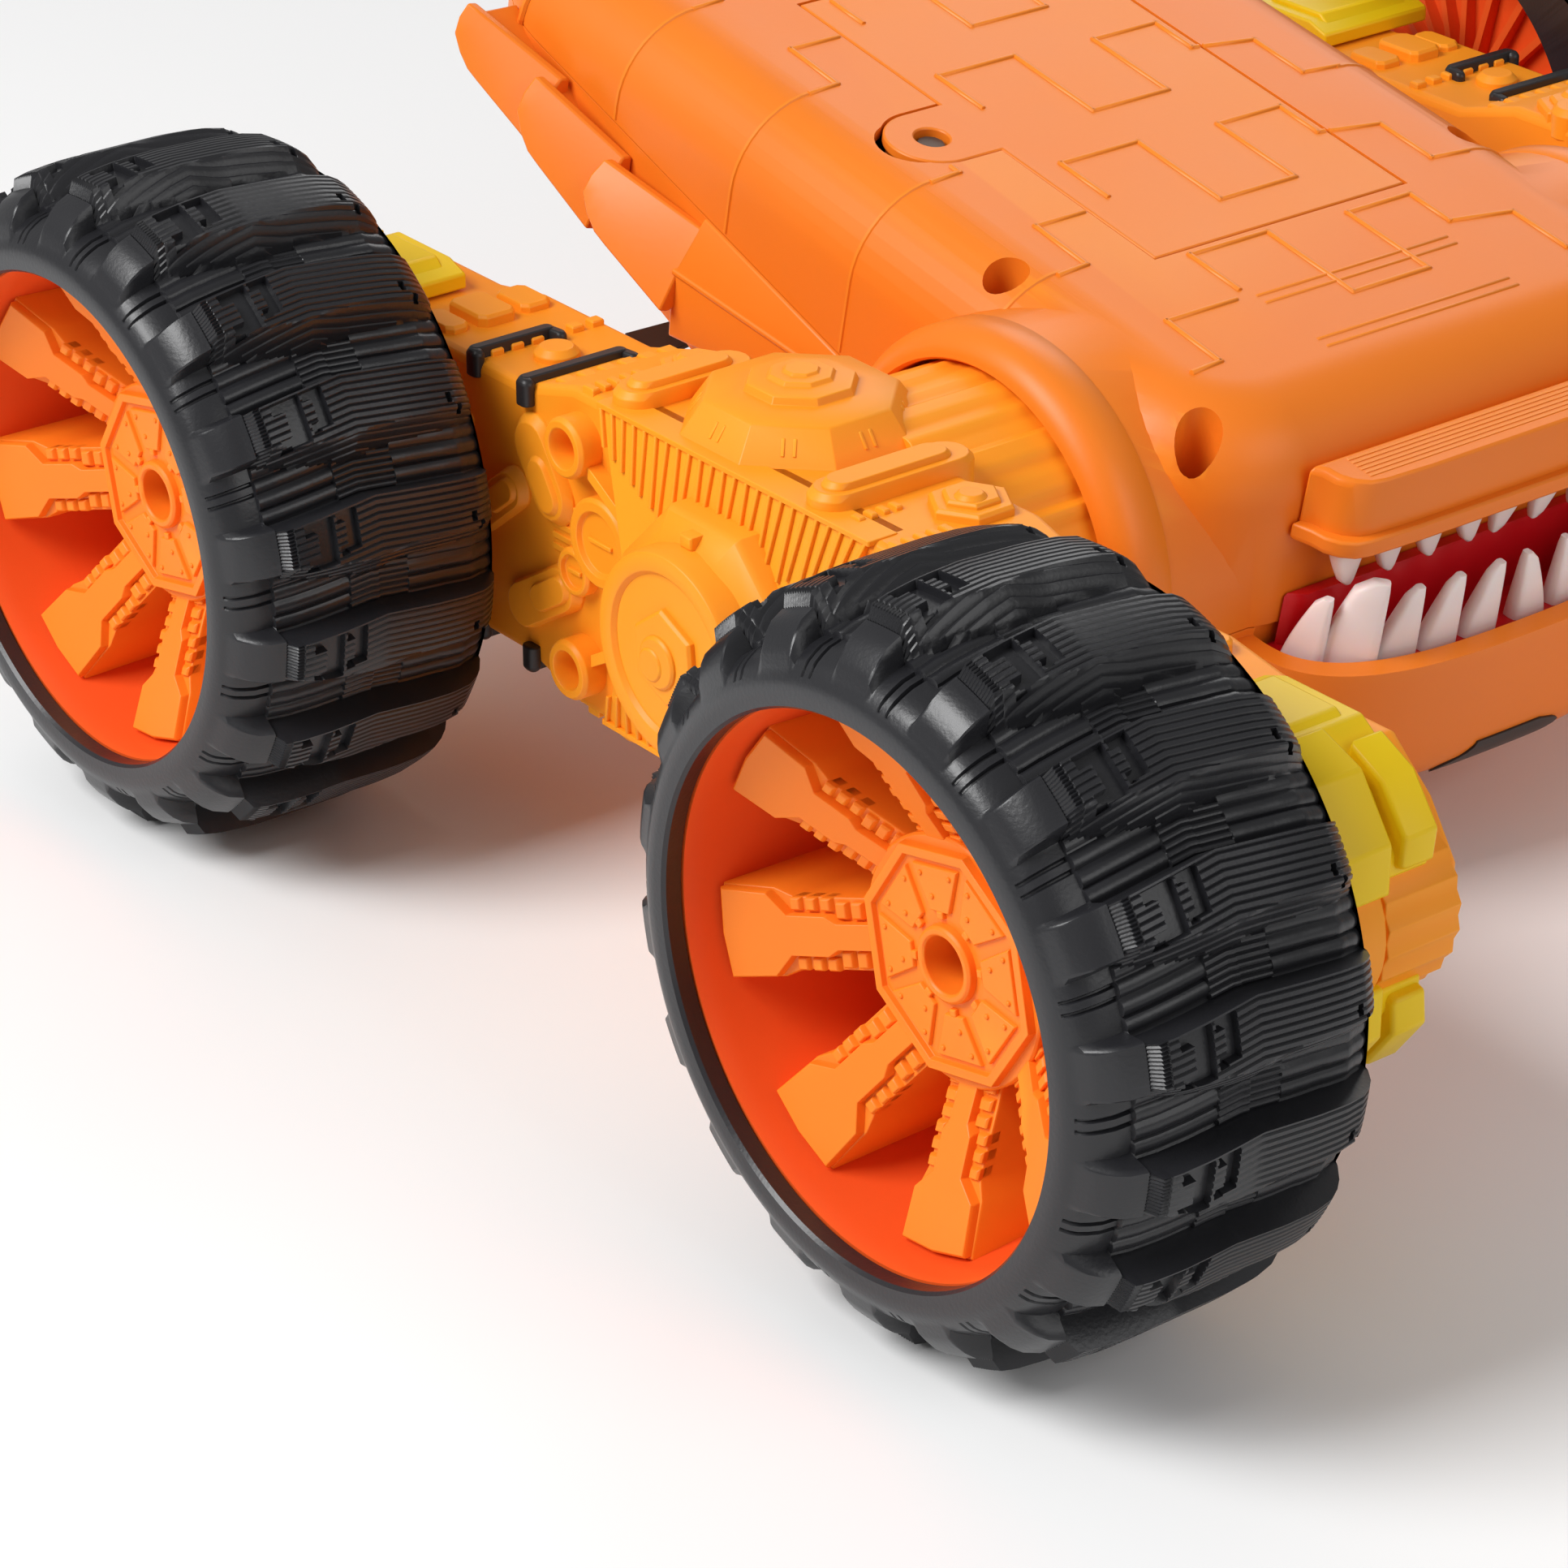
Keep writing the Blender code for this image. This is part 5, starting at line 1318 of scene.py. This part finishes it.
def add_paw(shape, side, end):
    """Rounded end of the arm between its claws, notched on its inner half."""
    place = across(side)
    shape.slab(paw_outline(end, PAW_RADIUS, 0.0007), ARM_IN + 0.0030, 0.1180, place,
               chamfer=0.0004)
    shape.slab(paw_outline(end, PAW_RADIUS - 0.0009, 0.0), 0.1175, 0.1190, place)
    shape.slab(paw_outline(end, PAW_RADIUS - 0.0003, 0.0), 0.1186, 0.1362, place,
               chamfer=0.0004)


def build_arms():
    """Casing, neck, relief, claws and stripes of both arms."""
    for name, side in SIDES.items():
        body = f"{name}_arm"
        hull = arm_hull(side).piece(f"{name}_arm_casing", body, "arm_orange", 0.0006)
        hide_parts(f"{name}_arm_cover", f"{name}_arm_frame")
        neck = Shape()
        add_neck(neck, side)
        neck.piece(f"{name}_arm_neck", body, "arm_orange", 0.0002)
        relief = Shape()
        add_disc(relief, side)
        add_screw_posts(relief, side)
        add_side_gears(relief, side)
        for up in (-1, 1):
            add_zipper(relief, side, up)
            add_top(relief, side, up)
        for end in ENDS.values():
            add_paw(relief, side, end)
        relief.piece(f"{name}_arm_relief", body, "arm_orange", 0.00022)
        for end_name, end in ENDS.items():
            build_claws(f"{name}_{end_name}", side, end, body)
            build_arm_stripes(f"{name}_{end_name}", side, end, body)


def build_claws(tag, side, end, body):
    """Faceted yellow claws, each with a pad on top, a raised band and a side lobe."""
    claws, place = Shape(), across(side)
    for up in (-1, 1):
        def flip(points):
            return [(end * y, up * z) for y, z in points]
        base = [(0.1070, 0.0272), (0.1120, 0.0290), (0.1285, 0.0290), (0.1385, 0.0218),
                (0.1440, 0.0135), (0.1440, 0.0095), (0.1410, 0.0090), (0.1350, 0.0170),
                (0.1270, 0.0238), (0.1070, 0.0242)]
        claws.slab(flip(base), CLAW_IN, 0.1382, place, chamfer=0.0012)
        top_pad = [(0.1085, 0.0270), (0.1120, 0.0300), (0.1260, 0.0300), (0.1300, 0.0270)]
        claws.slab(flip(top_pad), CLAW_IN + 0.0030, 0.1345, place, chamfer=0.0010)
        band = [(0.1296, 0.0300), (0.1386, 0.0266), (0.1458, 0.0165), (0.1458, 0.0080),
                (0.1424, 0.0070), (0.1356, 0.0170), (0.1284, 0.0250)]
        claws.slab(flip(band), CLAW_IN + 0.0095, CLAW_IN + 0.0205, place, chamfer=0.0010)
        lobe = [(0.1330, 0.0282), (0.1405, 0.0246), (0.1462, 0.0168), (0.1456, 0.0112),
                (0.1420, 0.0100), (0.1356, 0.0170), (0.1320, 0.0225)]
        claws.slab(flip(lobe), CLAW_IN + 0.0004, CLAW_IN + 0.0072, place, chamfer=0.0008)
    thing = claws.piece(f"{tag}_claw_set", body, "claw_yellow", 0.0005)
    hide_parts(f"{tag}_claws")


def build_arm_stripes(tag, side, end, body):
    """Two slim black bars over the arm, above and below, with short hooked ends."""
    bars, top = Shape(), ARM_FLAT
    for middle, low, high in ((0.0585, 0.1085, 0.1300), (0.0750, 0.1125, 0.1290)):
        for up in (-1, 1):
            spot, y = upwards(side, up), end * middle
            bars.slab(capsule(low, y, high, y, 0.0012), top - 0.0012, top + 0.0022, spot,
                      chamfer=0.0008)
            bars.slab(capsule(high, y, high, y - end * 0.0012, 0.0013), top - 0.0030,
                      top + 0.0021, spot, chamfer=0.0008)
            bars.slab(capsule(low, y, low - 0.0004, y - end * 0.0030, 0.0011), top - 0.0012,
                      top + 0.0019, spot, chamfer=0.0007)
    thing = bars.piece(f"{tag}_stripe_bars", body, "stripe_black", 0.0003)
    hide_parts(f"{tag}_stripes")


# ---------------------------------------------------------------- carried pieces, stage, camera
def paint_carried_nodes():
    """Gives every CAD piece its finish, with duller heads on the screws."""
    slots = {s["node"]: s["material_slot"] for s in frame["record"]["subparts"]}
    for name, thing in frame["nodes"].items():
        thing.data.materials.clear()
        slot = "screw_steel" if name.endswith("screw") else slots[name]
        thing.data.materials.append(MATERIALS[slot])


def build_floor():
    size = 6.0
    floor = bpy.data.objects.new("floor", bpy.data.meshes.new("floor"))
    floor.data.from_pydata([(-size, -size, -0.0002), (size, -size, -0.0002),
                            (size, size, -0.0002), (-size, size, -0.0002)], [], [(0, 1, 2, 3)])
    material = bpy.data.materials.new("studio_floor")
    material.use_nodes = True
    tree = material.node_tree
    shader = tree.nodes["Principled BSDF"]
    noise = node(tree, "ShaderNodeTexNoise", Scale=3.0, Detail=2.0)
    ramp = node(tree, "ShaderNodeMapRange")
    ramp.inputs["To Min"].default_value = 0.93
    ramp.inputs["To Max"].default_value = 0.96
    tree.links.new(noise.outputs["Fac"], ramp.inputs["Value"])
    tree.links.new(ramp.outputs["Result"], shader.inputs["Base Color"])
    shader.inputs["Roughness"].default_value = 0.75
    shader.inputs["Specular IOR Level"].default_value = 0.2
    floor.data.materials.append(material)
    bpy.context.scene.collection.objects.link(floor)


def aim(thing, target):
    """Turns a lamp to face a point."""
    direction = Vector(target) - thing.location
    thing.rotation_euler = direction.to_track_quat("-Z", "Y").to_euler()


def add_light(name, place, target, size, power):
    data = bpy.data.lights.new(name, "AREA")
    data.shape = "RECTANGLE"
    data.size, data.size_y = size
    data.energy = power
    lamp = bpy.data.objects.new(name, data)
    lamp.location = place
    bpy.context.scene.collection.objects.link(lamp)
    aim(lamp, target)


def build_stage():
    """Floor, soft studio light and the camera."""
    build_floor()
    world = bpy.data.worlds.new("studio")
    bpy.context.scene.world = world
    world.use_nodes = True
    world.node_tree.nodes["Background"].inputs["Color"].default_value = (1, 1, 1, 1)
    world.node_tree.nodes["Background"].inputs["Strength"].default_value = 0.30
    centre = (0, 0, 0.05)
    add_light("key", (-1.15, 0.25, 1.15), centre, (0.8, 0.8), 23)
    add_light("fill", (0.3, -1.7, 1.0), centre, (1.4, 1.0), 8)
    add_light("edge", (1.2, 1.0, 1.0), centre, (0.8, 1.0), 5)
    camera = bpy.data.objects.new("camera", bpy.data.cameras.new("camera"))
    camera.data.sensor_width = 36.0
    camera.data.lens = 118.7
    camera.data.clip_start = 0.01
    camera.location = (-0.610, -0.625, 0.437)
    direction = Vector((0.5505, 0.6996, -0.4555))
    camera.rotation_euler = direction.to_track_quat("-Z", "Y").to_euler()
    bpy.context.scene.collection.objects.link(camera)
    bpy.context.scene.camera = camera
    bpy.context.scene.view_settings.view_transform = "Standard"


paint_carried_nodes()
build_wheels()
build_belly()
build_belly_lines()
build_door()
build_back()
build_mane()
build_stripes_on_snout()
build_jaw()
build_teeth()
build_gum()
build_collars()
build_arms()
build_stage()
